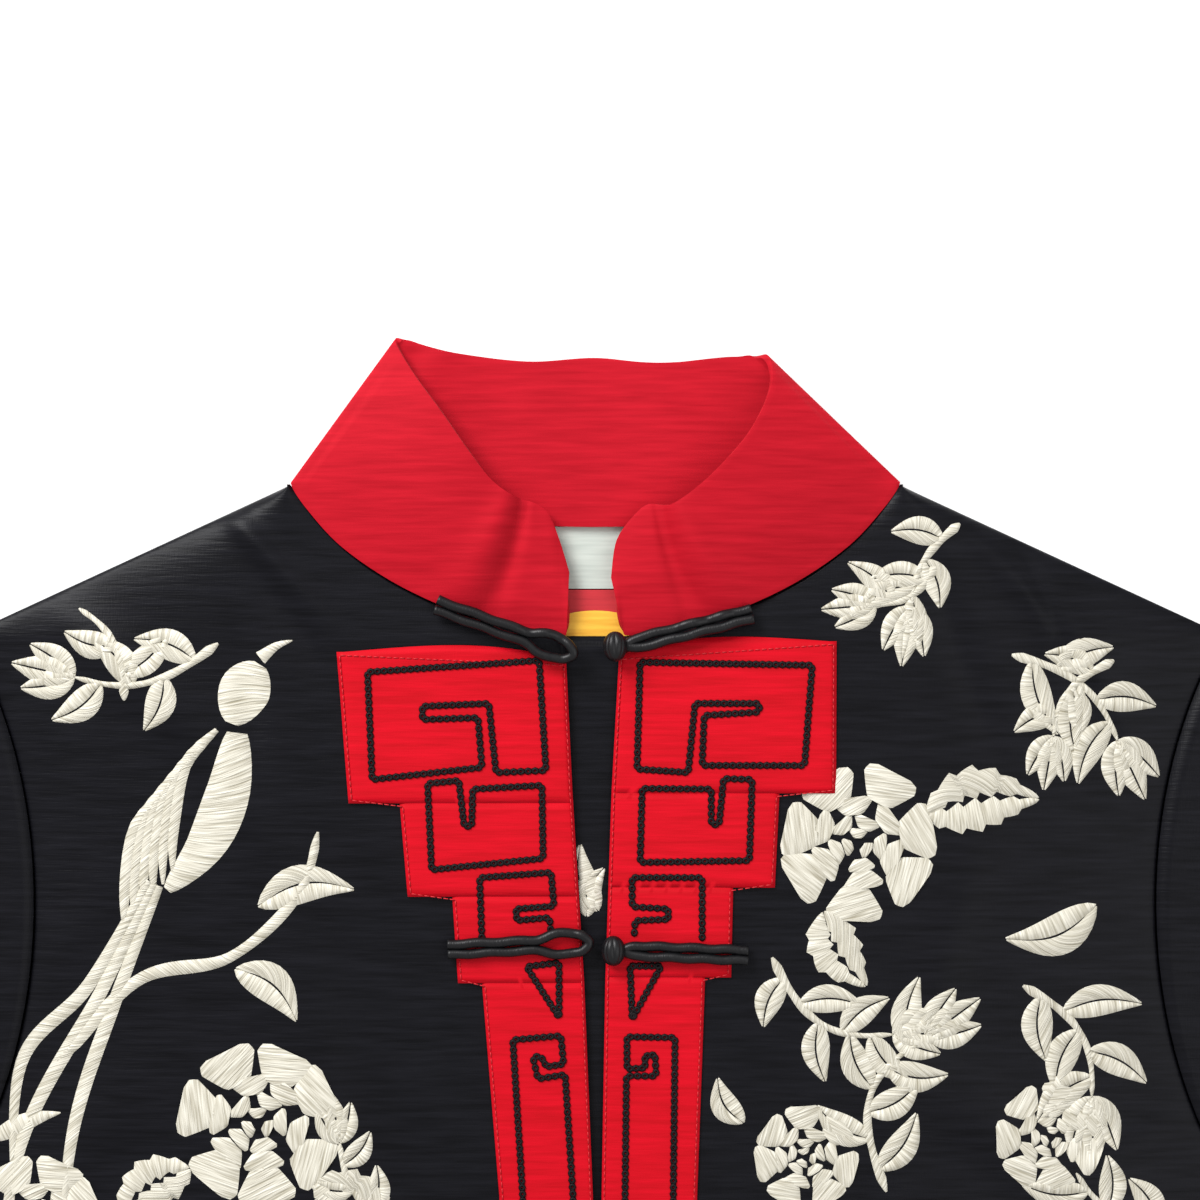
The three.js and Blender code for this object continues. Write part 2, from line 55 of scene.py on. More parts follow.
ROTATE_UP = Matrix.Rotation(math.pi / 2, 3, "X")

Point = tuple[float, float]
Table = tuple[tuple[float, ...], ...]
Place = Callable[[float, float], Vector]


class Side(Enum):
    """Left or right as seen from above, by the sign of X."""

    LEFT = -1
    RIGHT = 1


# Stage, in metres: the camera looks straight down on the photo's centre, and each lamp has its name,
# place from that centre, width and power.
PHOTO_CENTRE = Vector((1.75 * MM, (-42.8 + SHIFT_Y) * MM, 0.0))
CAMERA_HEIGHT = 1.1
CLOTH_LEVEL = 0.006
VIEW_WIDTH = 0.421
WORLD_STRENGTH = 0.62
FLOOR_DROP = 0.0015
FLOOR_HALF = 6.0
LAMPS = (("key", (-0.9, 1.1, 1.1), 0.9, 44.0), ("fill", (1.2, -0.2, 1.6), 1.6, 10.0))
SEED = 11

# Frogs: the first lies higher and closer, and the others follow evenly down the front.
FROG_COUNT = 6
FROG_SPACING = 105

# ---------------------------------------------------------------- plan of the jacket, in mm
NECK_POINT = (107.0, -2.2)
NECK_CURVE = ((10.5, -55.5), (81.0, -46.5), NECK_POINT)
ARMHOLE = ((258.0, -284.0), (190.0, -238.0), (181.0, -122.0), (221.0, -55.0))
HEM_SIDE = (268.0, -652.0)
BACK_NECK_Y = -16.0
CUFF_TOP = (721.0, -368.0)
CUFF_LOW = (641.0, -495.0)
FRONT_EDGES = {
    Side.LEFT: ((-55.5, 10.3), (-110, 7.7), (-176, 3.6), (-252, 0.5), (-662, 0.5)),
    Side.RIGHT: ((-55.5, 8.6), (-110, 5.6), (-176, 3.4), (-252, 2.1), (-662, 1.5)),
}

# Section of a front from its inner edge to its outline, in mm, with shares for the edge's shape.
SEAM_TOP = 2.5
SEAM_ROUNDING = 0.9
CENTRE_LIFT = 2.8
CHEST_LOFT = 1.6
EDGE_ROUNDNESS = 6
EDGE_TUCK = 0.012
DEEPEST_TROUGH = -0.3
EDGE_CROWDING = 1.35

# A panel's UV map spans this many mm each way, and a sleeve's middle lies at this height in mm.
PANEL_UV = (1000, 1000)
SLEEVE_MIDDLE = 1.9
SLEEVE_TOP_FROM = 2.6
SLEEVE_CROWN = 2.2
SLEEVE_THINNEST = 0.6

# Folds: centre x and y, direction in degrees, half length, half width, rise (a trough when below 0).
FRONT_FOLDS = (
    (-168, -62, -38, 46, 9, 2.6), (-140, -95, -52, 40, 8, 1.8), (-205, -250, 40, 60, 13, 2.2),
    (176, -70, -62, 52, 10, 2.4), (160, -240, -35, 62, 12, 2.4), (215, -300, -48, 55, 12, 2.0),
    (-130, -430, 78, 130, 20, 3.0), (150, -470, 98, 140, 22, 3.2), (-118, -24, -48, 34, 4.5, 2.2),
    (-106, -52, -60, 30, 5, -1.5), (150, -38, -50, 40, 5, 1.8), (128, -60, -70, 36, 5, -1.3),
    (162, -52, -66, 60, 3.5, -2.0), (-122, -78, -80, 26, 3.5, -1.3), (186, -236, 20, 22, 4, 2.6),
    (193, -222, 35, 20, 3, -1.8), (-190, -170, 60, 40, 8, 1.6), (120, -180, 75, 60, 9, 1.3),
    (-95, -215, 100, 70, 9, 1.4), (-230, -330, -30, 45, 8, 2.0), (-70, -560, 88, 70, 12, 2.2),
    (80, -600, 92, 60, 10, 2.0), (-200, -590, 84, 60, 14, 2.2), (210, -560, 97, 75, 13, 2.4),
)
SLEEVE_FOLDS = (
    (290, -120, -30, 70, 9, 2.4), (330, -215, -20, 60, 8, 2.2), (270, -235, 10, 30, 6, 2.4),
    (420, -230, -50, 60, 10, 2.6), (470, -290, -35, 70, 8, 2.2), (560, -330, -70, 45, 9, 2.4),
    (620, -400, -45, 50, 9, 1.8), (380, -170, -65, 40, 7, -1.6), (520, -370, -20, 60, 7, -1.4),
)
BACK_FOLDS = (
    (-60, -150, 80, 90, 14, 0.6), (90, -300, 95, 120, 16, 0.6), (0, -480, 88, 120, 18, 0.6),
)


def fold_rise(table: Table, x: float, y: float) -> float:
    """Sum the soft ridges and troughs of a fold table.

    Args:
        table: rows of centre, direction, half length, half width and rise.
        x: place across the jacket in mm.
        y: place along the jacket in mm.

    Returns:
        The rise in mm.
    """
    total = 0.0
    for cx, cy, degrees, length, width, rise in table:
        angle = math.radians(degrees)
        along = (x - cx) * math.cos(angle) + (y - cy) * math.sin(angle)
        across = (y - cy) * math.cos(angle) - (x - cx) * math.sin(angle)
        total += rise * math.exp(-(along / length) ** 2 - (across / width) ** 2)
    return total


def mix(start: float, end: float, share: float) -> float:
    """Blend two numbers."""
    return start + (end - start) * share


def bezier(points: tuple[Point, ...], share: float) -> Point:
    """Find a point of a Bezier curve of any degree.

    Args:
        points: the control points.
        share: the way along the curve, 0 to 1.

    Returns:
        The point in plan.
    """
    level = list(points)
    while len(level) > 1:
        level = [(mix(a[0], b[0], share), mix(a[1], b[1], share)) for a, b in zip(level, level[1:])]
    return level[0]


def catmull(rows: Table, share: float) -> list[float]:
    """Interpolate a table of numbers smoothly through its rows.

    Args:
        rows: rows of numbers.
        share: the way through the table, 0 to 1.

    Returns:
        One smooth row.
    """
    last = len(rows) - 1
    place = min(share * last, last - 1e-9)
    index = int(place)
    t = place - index
    before, start, end, after = (rows[min(max(index + k, 0), last)] for k in (-1, 0, 1, 2))
    return [0.5 * (2 * b + (c - a) * t + (2 * a - 5 * b + 4 * c - d) * t * t
                   + (3 * b - a - 3 * c + d) * t ** 3) for a, b, c, d in zip(before, start, end, after)]


def outer_edge(level: float) -> Point:
    """Give a point of the body's right outline.

    Args:
        level: 0 to 1 up the side seam, 1 to 2 up the armhole, 2 to 3 along the shoulder.

    Returns:
        The point in plan.
    """
    if level <= 1:
        return (mix(HEM_SIDE[0], ARMHOLE[0][0], level), mix(HEM_SIDE[1], ARMHOLE[0][1], level))
    if level <= 2:
        return bezier(ARMHOLE, level - 1)
    end = (NECK_POINT[0] + 0.6, NECK_POINT[1] - 0.4)
    return (mix(ARMHOLE[3][0], end[0], level - 2), mix(ARMHOLE[3][1], end[1], level - 2))


def front_edge_x(side: Side, y: float) -> float:
    """Give the X of a front's centre edge at a level.

    Args:
        side: the front.
        y: the level in mm.

    Returns:
        X in mm.
    """
    rows = FRONT_EDGES[side]
    for (y0, x0), (y1, x1) in zip(rows, rows[1:]):
        if y >= y1:
            return side.value * mix(x0, x1, min(max((y0 - y) / (y0 - y1), 0), 1))
    return side.value * rows[-1][1]


def inner_edge(side: Side, level: float) -> Point:
    """Give a point of a front's inner outline: the centre edge, then the neck seam.

    Args:
        side: the front.
        level: the level, as outer_edge has it.

    Returns:
        The point in plan.
    """
    if level <= 2:
        y = mix(HEM_Y, NECK_CURVE[0][1], level / 2)
        return (front_edge_x(side, y), y)
    x, y = bezier(NECK_CURVE, level - 2)
    return (side.value * x, y)


def new_object(name: str, mesh_source: bmesh.types.BMesh, smooth: bool = True) -> bpy.types.Object:
    """Make an object at the origin from a bmesh.

    Args:
        name: the piece's name.
        mesh_source: its mesh, which is freed.
        smooth: whether its faces are shaded smooth.

    Returns:
        The new object.
    """
    mesh = bpy.data.meshes.new(name)
    for face in mesh_source.faces:
        face.smooth = smooth
    mesh_source.to_mesh(mesh)
    mesh_source.free()
    piece = bpy.data.objects.new(name, mesh)
    bpy.context.scene.collection.objects.link(piece)
    return piece


def lay_grid(target: bmesh.types.BMesh, columns: int, rows: int, place: Place,
             uv_size: tuple[float, float] = (1.0, 1.0)) -> list[bmesh.types.BMVert]:
    """Add a grid and lay each of its points where a form says.

    Args:
        target: the bmesh to add to.
        columns: cells across.
        rows: cells along.
        place: the form, from shares 0 to 1 across and along to a point in mm, neck frame.
        uv_size: the grid's size in mm, which its UV map holds.

    Returns:
        The grid's points.
    """
    made = bmesh.ops.create_grid(target, x_segments=columns, y_segments=rows, size=0.5)
    layer = target.loops.layers.uv.verify()
    shares = {}
    for vert in made["verts"]:
        shares[vert] = (vert.co.x + 0.5, vert.co.y + 0.5)
    faces = {face for vert in made["verts"] for face in vert.link_faces}
    for face in faces:
        for loop in face.loops:
            u, v = shares[loop.vert]
            loop[layer].uv = (u * uv_size[0] * MM, v * uv_size[1] * MM)
    for vert, (u, v) in shares.items():
        point = place(u, v)
        vert.co = ((point.x) * MM, (point.y + SHIFT_Y) * MM, point.z * MM)
    return made["verts"]


def face_up(target: bmesh.types.BMesh) -> None:
    """Turn a sheet so that most of its area faces up."""
    if sum(face.normal.z * face.calc_area() for face in target.faces) < 0:
        bmesh.ops.reverse_faces(target, faces=target.faces[:])


def thicken(piece: bpy.types.Object, thickness: float, offset: float = -1.0) -> None:
    """Give a sheet its wall.

    Args:
        piece: the sheet.
        thickness: the wall in mm.
        offset: which side the wall is on, -1 behind the faces.
    """
    wall = piece.modifiers.new("wall", "SOLIDIFY")
    wall.thickness = thickness * MM
    wall.offset = offset
    wall.use_even_offset = False


# ---------------------------------------------------------------- shader groups and finishes
def group_socket(tree: bpy.types.NodeTree, name: str, kind: str, outward: bool, value: float = 0.0) -> None:
    """Add a named socket to a shader group.

    Args:
        tree: the group.
        name: the socket's name.
        kind: its socket type.
        outward: whether it is an output.
        value: the value of an input that is a number.
    """
    socket = tree.interface.new_socket(name, in_out="OUTPUT" if outward else "INPUT", socket_type=kind)
    if kind == "NodeSocketFloat" and not outward:
        socket.default_value = value


def add_math(tree: bpy.types.NodeTree, operation: str, first: bpy.types.NodeSocket | float,
             second: bpy.types.NodeSocket | float) -> bpy.types.NodeSocket:
    """Add a math node.

    Args:
        tree: the node tree.
        operation: the node's operation.
        first: a socket or a number.
        second: a socket or a number.

    Returns:
        The result's socket.
    """
    node = tree.nodes.new("ShaderNodeMath")
    node.operation = operation
    for slot, value in enumerate((first, second)):
        if isinstance(value, (int, float)):
            node.inputs[slot].default_value = value
        else:
            tree.links.new(value, node.inputs[slot])
    return node.outputs[0]


def stretched_noise(tree: bpy.types.NodeTree, vector: bpy.types.NodeSocket, scale: tuple[float, float, float],
                    detail: float = 2.0) -> bpy.types.NodeSocket:
    """Add noise stretched along an axis, scale in cells per metre.

    Args:
        tree: the node tree.
        vector: the coordinate socket.
        scale: cells per metre along each axis.
        detail: noise octaves.

    Returns:
        The noise value's socket.
    """
    mapping = tree.nodes.new("ShaderNodeMapping")
    mapping.inputs["Scale"].default_value = scale
    tree.links.new(vector, mapping.inputs["Vector"])
    noise = tree.nodes.new("ShaderNodeTexNoise")
    noise.inputs["Scale"].default_value = 1.0
    noise.inputs["Detail"].default_value = detail
    tree.links.new(mapping.outputs[0], noise.inputs["Vector"])
    return noise.outputs[0]


def build_weave_group() -> bpy.types.NodeTree:
    """Build the slub weave group: fine uneven ribs across X, from coordinates in metres.

    Returns:
        The group.
    """
    tree = bpy.data.node_groups.new("slub weave", "ShaderNodeTree")
    group_socket(tree, "Vector", "NodeSocketVector", False)
    group_socket(tree, "Height", "NodeSocketFloat", True)
    group_socket(tree, "Shade", "NodeSocketFloat", True)
    inward = tree.nodes.new("NodeGroupInput")
    outward = tree.nodes.new("NodeGroupOutput")
    ribs = stretched_noise(tree, inward.outputs["Vector"], (110, 1500, 110), 2.0)
    slubs = stretched_noise(tree, inward.outputs["Vector"], (45, 620, 45), 3.0)
    warp = stretched_noise(tree, inward.outputs["Vector"], (2300, 260, 260), 1.0)
    fine = add_math(tree, "MULTIPLY", ribs, 0.65)
    both = add_math(tree, "ADD", fine, add_math(tree, "MULTIPLY", slubs, 0.55))
    height = add_math(tree, "ADD", both, add_math(tree, "MULTIPLY", warp, 0.25))
    tree.links.new(height, outward.inputs["Height"])
    tree.links.new(slubs, outward.inputs["Shade"])
    return tree


def build_stitch_group() -> bpy.types.NodeTree:
    """Build the satin stitch group: threads laid across a motif, from its UV map in metres, with painted
    shade in the grooves between threads.

    Returns:
        The group.
    """
    tree = bpy.data.node_groups.new("satin stitch", "ShaderNodeTree")
    group_socket(tree, "Vector", "NodeSocketVector", False)
    group_socket(tree, "Height", "NodeSocketFloat", True)
    group_socket(tree, "Shade", "NodeSocketFloat", True)
    inward = tree.nodes.new("NodeGroupInput")
    outward = tree.nodes.new("NodeGroupOutput")
    threads = stretched_noise(tree, inward.outputs["Vector"], (90, 1700, 1), 1.0)
    bundles = stretched_noise(tree, inward.outputs["Vector"], (60, 620, 1), 2.0)
    height = add_math(tree, "ADD", threads, add_math(tree, "MULTIPLY", bundles, 0.8))
    tree.links.new(height, outward.inputs["Height"])
    # Shade follows Height, so the low grooves between threads take the dark tone: painted shade.
    tree.links.new(add_math(tree, "MULTIPLY", height, 0.56), outward.inputs["Shade"])
    return tree


GROUPS: dict[str, bpy.types.NodeTree] = {}


@dataclass(frozen=True)
class Finish:
    """A cloth or thread finish: two tones, a surface pattern, roughness, sheen and bump; on stitch patterns
    the dark tone is painted shade in the thread grooves.
    """

    name: str
    dark: tuple[float, float, float]
    light: tuple[float, float, float]
    pattern: str
    roughness: float = 0.6
    sheen: float = 0.1
    bump: float = 0.5
    depth: float = 0.15
    by_uv: bool = False
    specular: float = 0.4

    def material(self) -> bpy.types.Material:
        """Build the finish's material, once.

        Returns:
            The material.
        """
        known = bpy.data.materials.get(self.name)
        if known:
            return known
        material = bpy.data.materials.new(self.name)
        material.use_nodes = True
        tree = material.node_tree
        shader = tree.nodes["Principled BSDF"]
        coordinates = tree.nodes.new("ShaderNodeTexCoord")
        pattern = tree.nodes.new("ShaderNodeGroup")
        pattern.node_tree = GROUPS[self.pattern]
        source = coordinates.outputs["UV" if self.by_uv else "Object"]
        tree.links.new(source, pattern.inputs["Vector"])
        ramp = tree.nodes.new("ShaderNodeValToRGB")
        ramp.color_ramp.elements[0].position = 0.3
        ramp.color_ramp.elements[0].color = (*self.dark, 1)
        ramp.color_ramp.elements[1].position = 0.72
        ramp.color_ramp.elements[1].color = (*self.light, 1)
        # Shade picks the tone: with the weave it is the slubs' own uneven tone, with the stitch pattern it is
        # painted shade in the grooves between threads.
        tree.links.new(pattern.outputs["Shade"], ramp.inputs[0])
        tree.links.new(ramp.outputs[0], shader.inputs["Base Color"])
        bump = tree.nodes.new("ShaderNodeBump")
        bump.inputs["Strength"].default_value = self.bump
        bump.inputs["Distance"].default_value = self.depth * MM
        tree.links.new(pattern.outputs["Height"], bump.inputs["Height"])
        tree.links.new(bump.outputs[0], shader.inputs["Normal"])
        shader.inputs["Roughness"].default_value = self.roughness
        shader.inputs["Sheen Weight"].default_value = self.sheen
        shader.inputs["Sheen Roughness"].default_value = 0.4
        shader.inputs["Specular IOR Level"].default_value = self.specular
        return material


BLACK = Finish("black cloth", (0.0022, 0.0022, 0.0034), (0.0065, 0.0065, 0.0092), "weave", 0.4, 0.0, 0.8,
               0.22, specular=0.11)
BAND_RED = Finish("band red", (0.36, 0.002, 0.010), (0.47, 0.005, 0.016), "weave", 0.72, 0.03, 0.45, 0.14,
                  specular=0.12)
APPLIQUE_RED = Finish("applique red", (0.44, 0.0004, 0.006), (0.58, 0.001, 0.011), "weave", 0.66, 0.02, 0.6,
                      0.18, specular=0.12)
# The stitch finishes below give the grooves between threads their dark tone, which is painted shade; their
# light tone is the thread's own colour.
CORD_BLACK = Finish("cord satin", (0.002, 0.002, 0.003), (0.007, 0.007, 0.008), "stitch", 0.4, 0.0, 0.5,
                    0.15, True, 0.3)
IVORY = Finish("ivory thread", (0.30, 0.27, 0.19), (0.84, 0.81, 0.71), "stitch", 0.42, 0.05, 1.0, 0.45, True)
RED_THREAD = Finish("red thread", (0.42, 0.002, 0.006), (0.62, 0.01, 0.02), "stitch", 0.5, 0.1, 0.5, 0.1,
                    True)
BLACK_THREAD = Finish("black thread", (0.003, 0.002, 0.003), (0.011, 0.008, 0.009), "stitch", 0.5, 0.0, 0.5,
                      0.1, True, 0.15)
LABEL_PALE = Finish("label pale", (0.42, 0.46, 0.42), (0.54, 0.58, 0.53), "weave", 0.6, 0.05, 0.3, 0.08)
LABEL_RED = Finish("label red", (0.40, 0.012, 0.02), (0.55, 0.02, 0.03), "weave", 0.6, 0.05, 0.4, 0.08)
LABEL_YELLOW = Finish("label yellow", (0.70, 0.33, 0.02), (0.88, 0.50, 0.05), "weave", 0.5, 0.1, 0.5, 0.1)


def dress(piece: bpy.types.Object, finish: Finish, slot: str, *nodes: str) -> None:
    """Give a piece its finish and its body, and hide the CAD nodes that it stands for.

    Args:
        piece: the piece.
        finish: its finish.
        slot: not used.
        *nodes: the CAD nodes.
    """
    piece.data.materials.clear()
    piece.data.materials.append(finish.material())
    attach(piece, "root")
    if nodes:
        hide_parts(*nodes)


def front_plan(side: Side, share: float, level: float) -> tuple[float, float]:
    """Give a plan point of a front.

    Args:
        side: the front.
        share: share of the way from its inner to its outer outline.
        level: the level, as outer_edge has it.

    Returns:
        The point in plan.
    """
    inner = inner_edge(side, level)
    outer = outer_edge(level)
    return (mix(inner[0], side.value * outer[0], share), mix(inner[1], outer[1], share))


def front_top(x: float, y: float, share: float) -> float:
    """Give the height of a front's outer face, as the CAD wall has it, with finer folds.

    Args:
        x: place across in mm.
        y: place along in mm.
        share: share of the way from the front's inner to its outer outline.

    Returns:
        The height in mm.
    """
    held = 1 - share ** EDGE_ROUNDNESS
    edge = 1 - math.exp(-((1 - share) / EDGE_TUCK))
    lift = CENTRE_LIFT + CHEST_LOFT * math.sin(math.pi * share) + fold_rise(FRONT_FOLDS, x, y)
    return SEAM_TOP + SEAM_ROUNDING * edge + max(held * lift, DEEPEST_TROUGH)


@dataclass
class Body:
    """The back, the two fronts and the underlap."""

    columns: int = 84
    rows: int = 190
    wall: float = 1.0
    back_flat: tuple[float, float] = (0.56, 0.68)
    front_flat: tuple[float, float] = (0.29, 0.68)
    surfaces: dict[str, BVHTree] = field(default_factory=dict)

    def sheet(self, name: str, columns: int, rows: int, place: Place, finish: Finish, slot: str,
              node: str, upward: bool = True) -> bpy.types.Object:
        """Build one laid panel.

        Args:
            name: the piece's name.
            columns: cells across.
            rows: cells along.
            place: its form.
            finish: its cloth.
            slot: its slot in the record.
            node: the CAD node that it stands for.
            upward: whether its outer face is up.

        Returns:
            The panel.
        """
        source = bmesh.new()
        lay_grid(source, columns, rows, place, PANEL_UV)
        source.normal_update()
        face_up(source)
        if not upward:
            bmesh.ops.reverse_faces(source, faces=source.faces[:])
        self.surfaces[name] = BVHTree.FromBMesh(source)
        piece = new_object(name, source)
        thicken(piece, self.wall)
        dress(piece, finish, slot, node)
        return piece

    def build(self) -> None:
        """Build the fronts, the back and the underlap."""
        for side in Side:
            def place(u: float, v: float, side: Side = side) -> Vector:
                """Lay a point of this front, with more points near its outline."""
                share = 1 - (1 - u) ** EDGE_CROWDING
                level = 3 * v
                x, y = front_plan(side, share, level)
                return Vector((x, y, front_top(x, y, share)))
            name = f"front_{side.name.lower()}"
            panel = self.sheet(name, self.columns, self.rows, place, BLACK, "black_cloth",
                               f"front_panel_{side.name.lower()}")

        def back_place(u: float, v: float) -> Vector:
            """Lay a point of the back."""
            across = 2 * u - 1
            level = 3 * v
            x, y = outer_edge(level)
            centre = y + (HEM_Y - HEM_SIDE[1]) * max(0.0, 1 - level / 2)
            if level > 2:
                centre = mix(ARMHOLE[3][1], BACK_NECK_Y, level - 2)
            z = 0.2 + 0.25 * fold_rise(BACK_FOLDS, across * x, y)
            return Vector((across * x, mix(centre, y, across * across), max(z, 0.0)))
        back = self.sheet("back", 100, 150, back_place, BLACK, "black_cloth", "back_panel", False)

        def underlap_place(u: float, v: float) -> Vector:
            """Lay a point of the underlap."""
            x = mix(-28, 30, u)
            y = mix(-648, -55.5, v)
            return Vector((x, y, 4.2 + 0.3 * math.sin(y / 37) * math.sin(math.pi * u)))
        underlap = self.sheet("underlap_cloth", 16, 120, underlap_place, BLACK, "black_cloth", "underlap")


@dataclass
class Sleeves:
    """The two sleeves: each one tube, pressed flat, from the armhole to the cuff."""

    around: int = 96
    along: int = 100
    wall: float = 0.9
    flat: tuple[float, float] = (0.44, 0.60)

    def build(self, body: Body) -> None:
        """Build both tubes and keep their upper faces for the embroidery.

        Args:
            body: holds the surfaces.
        """
        for side in Side:
            def place(u: float, v: float, side: Side = side) -> Vector:
                """Lay a point of this sleeve: u goes round the tube, and v to the cuff."""
                turn = 2 * math.pi * u
                across = (1 - math.cos(turn)) / 2
                start = bezier(ARMHOLE, 1 - across)
                step = bezier(ARMHOLE, min(1.0, 1 - across + 1e-3))
                tangent = Vector((step[0] - start[0], step[1] - start[1])).normalized() if across > 0 \
                    else Vector((0.5, 0.86))
                x = mix(start[0] + 0.2 * tangent.y, mix(CUFF_TOP[0], CUFF_LOW[0], across), v)
                y = mix(start[1] - 0.2 * tangent.x, mix(CUFF_TOP[1], CUFF_LOW[1], across), v)
                edge = math.sqrt(max(0.0, 1 - (2 * across - 1) ** 8))
                if u <= 0.5:
                    crown = SLEEVE_CROWN * math.sin(math.pi * across) * math.sin(math.pi * mix(0.04, 0.9, v))
                    folds = fold_rise(SLEEVE_FOLDS, x, y) * min(1.0, 6 * v + 0.2)
                    z = SLEEVE_MIDDLE + edge * max(SLEEVE_MIDDLE + crown + folds, SLEEVE_THINNEST)
                else:
                    z = SLEEVE_MIDDLE - SLEEVE_MIDDLE * edge
                return Vector((side.value * x, y, z))
            name = f"sleeve_cloth_{side.name.lower()}"
            source = bmesh.new()
            lay_grid(source, self.around, self.along, place, PANEL_UV)
            bmesh.ops.remove_doubles(source, verts=source.verts[:], dist=1e-6)
            source.normal_update()
            if side is Side.LEFT:
                bmesh.ops.reverse_faces(source, faces=source.faces[:])
            source.normal_update()
            top = [face for face in source.faces if face.calc_center_median().z > SLEEVE_TOP_FROM * MM]
            if sum(face.normal.z for face in top) < 0:
                bmesh.ops.reverse_faces(source, faces=source.faces[:])
            body.surfaces[name] = BVHTree.FromBMesh(source)
            piece = new_object(name, source)
            thicken(piece, self.wall)
            dress(piece, BLACK, "black_cloth", f"sleeve_{side.name.lower()}")


# Collar band sections: seam point, then top point, on the inner face (mm).
COLLAR_ROWS = (
    (-10.0, -54.2, 5.6, -9.0, -33.0, 8.4), (-10.6, -54.2, 5.6, -12.5, -21.5, 8.6),
    (-13.0, -53.9, 5.7, -16.2, -12.8, 9.4), (-18.5, -53.2, 5.8, -21.0, -9.0, 10.2),
    (-33.0, -50.2, 6.0, -27.5, -6.8, 12.0), (-50.0, -44.8, 6.0, -35.5, -1.4, 14.5),
    (-70.0, -35.2, 6.0, -43.5, 8.5, 16.0), (-88.0, -22.6, 5.8, -54.0, 23.5, 15.0),
    (-100.0, -9.5, 5.4, -63.5, 36.5, 11.5), (-105.5, -1.0, 4.6, -70.0, 48.0, 7.0),
    (-103.0, -0.4, 2.6, -66.0, 48.6, 3.0), (-90.0, -5.2, 2.5, -52.0, 44.5, 2.5),
    (-52.0, -12.4, 2.5, -24.0, 41.0, 2.5), (0.0, -15.4, 2.5, 0.0, 42.2, 2.5),
    (52.0, -12.4, 2.5, 22.0, 40.4, 2.5), (90.0, -5.2, 2.5, 44.0, 42.4, 2.5),
    (103.0, -0.4, 2.6, 56.0, 43.0, 3.0), (105.5, -1.0, 4.6, 61.0, 42.5, 7.6),
    (100.0, -9.5, 5.4, 61.5, 32.0, 13.5), (88.0, -22.6, 5.8, 55.0, 17.5, 17.0),
    (70.0, -35.2, 6.0, 45.5, 5.8, 17.5), (50.0, -44.8, 6.0, 35.0, -3.8, 15.0),
    (33.0, -50.2, 6.0, 26.0, -9.6, 12.0), (18.5, -53.2, 5.8, 19.0, -9.2, 10.2),
    (13.0, -53.9, 5.7, 13.6, -13.2, 9.4), (10.6, -54.2, 5.6, 7.5, -22.0, 8.6),
    (10.0, -54.2, 5.6, 5.6, -35.0, 8.4),
)
# Creases of the band: share along it, share across it, slant, half length, half width, rise.
COLLAR_CREASES = (
    (0.152, 0.5, -0.9, 0.8, 0.010, -2.0), (0.180, 0.5, -0.9, 0.8, 0.016, 2.2),
    (0.852, 0.45, 0.9, 0.8, 0.010, -2.4), (0.822, 0.5, 0.9, 0.8, 0.016, 2.8),
    (0.42, 0.5, 0.1, 0.7, 0.010, 0.9), (0.455, 0.5, 0.05, 0.7, 0.010, -0.8),
    (0.53, 0.5, -0.1, 0.7, 0.012, 0.9), (0.56, 0.5, 0.0, 0.7, 0.010, -0.7),
    (0.39, 0.6, 0.0, 0.5, 0.010, 0.6), (0.60, 0.6, 0.0, 0.6, 0.010, 0.7),
)


@dataclass
class Collar:
    """The stiffened stand band, folded flat: its front halves lean in over its back."""

    stations: int = 260
    rows: int = 26
    wall: float = 2.2

    def point(self, along: float, across: float) -> Vector:
        """Give a point of the band's inner face.

        Args:
            along: share from the left front end to the right one.
            across: share from the seam to the top edge.

        Returns:
            The point in mm.
        """
        across = mix(-0.03, 1.0, across)
        row = catmull(COLLAR_ROWS, along)
        seam = Vector(row[:3])
        top = Vector(row[3:])
        lift = 0.0
        for place, middle, slant, length, width, rise in COLLAR_CREASES:
            off = along - place - 0.03 * slant * (across - 0.5)
            lift += rise * math.exp(-(off / width) ** 2 - ((across - middle) / length) ** 2)
        swell = 1.4 * math.sin(math.pi * max(0.0, across)) * (1 if along < 0.33 or along > 0.67 else 0.3)
        point = seam.lerp(top, across)
        if seam.z > 4:
            point.z += 1.5 * (1 - across)
        point.z += max(lift + swell, -0.6 if point.z > 4 else 0.0)
        return point

    def build(self) -> None:
        """Build the band."""
        source = bmesh.new()
        lay_grid(source, self.stations, self.rows, self.point, (560, 56))
        source.normal_update()
        piece = new_object("collar_cloth", source)
        thicken(piece, self.wall, 1.0)
        edge = piece.modifiers.new("edge", "BEVEL")
        edge.width = 0.5 * MM
        edge.segments = 2
        edge.limit_method = "ANGLE"
        edge.angle_limit = math.radians(60)
        dress(piece, BAND_RED, "red_band", "collar_band")


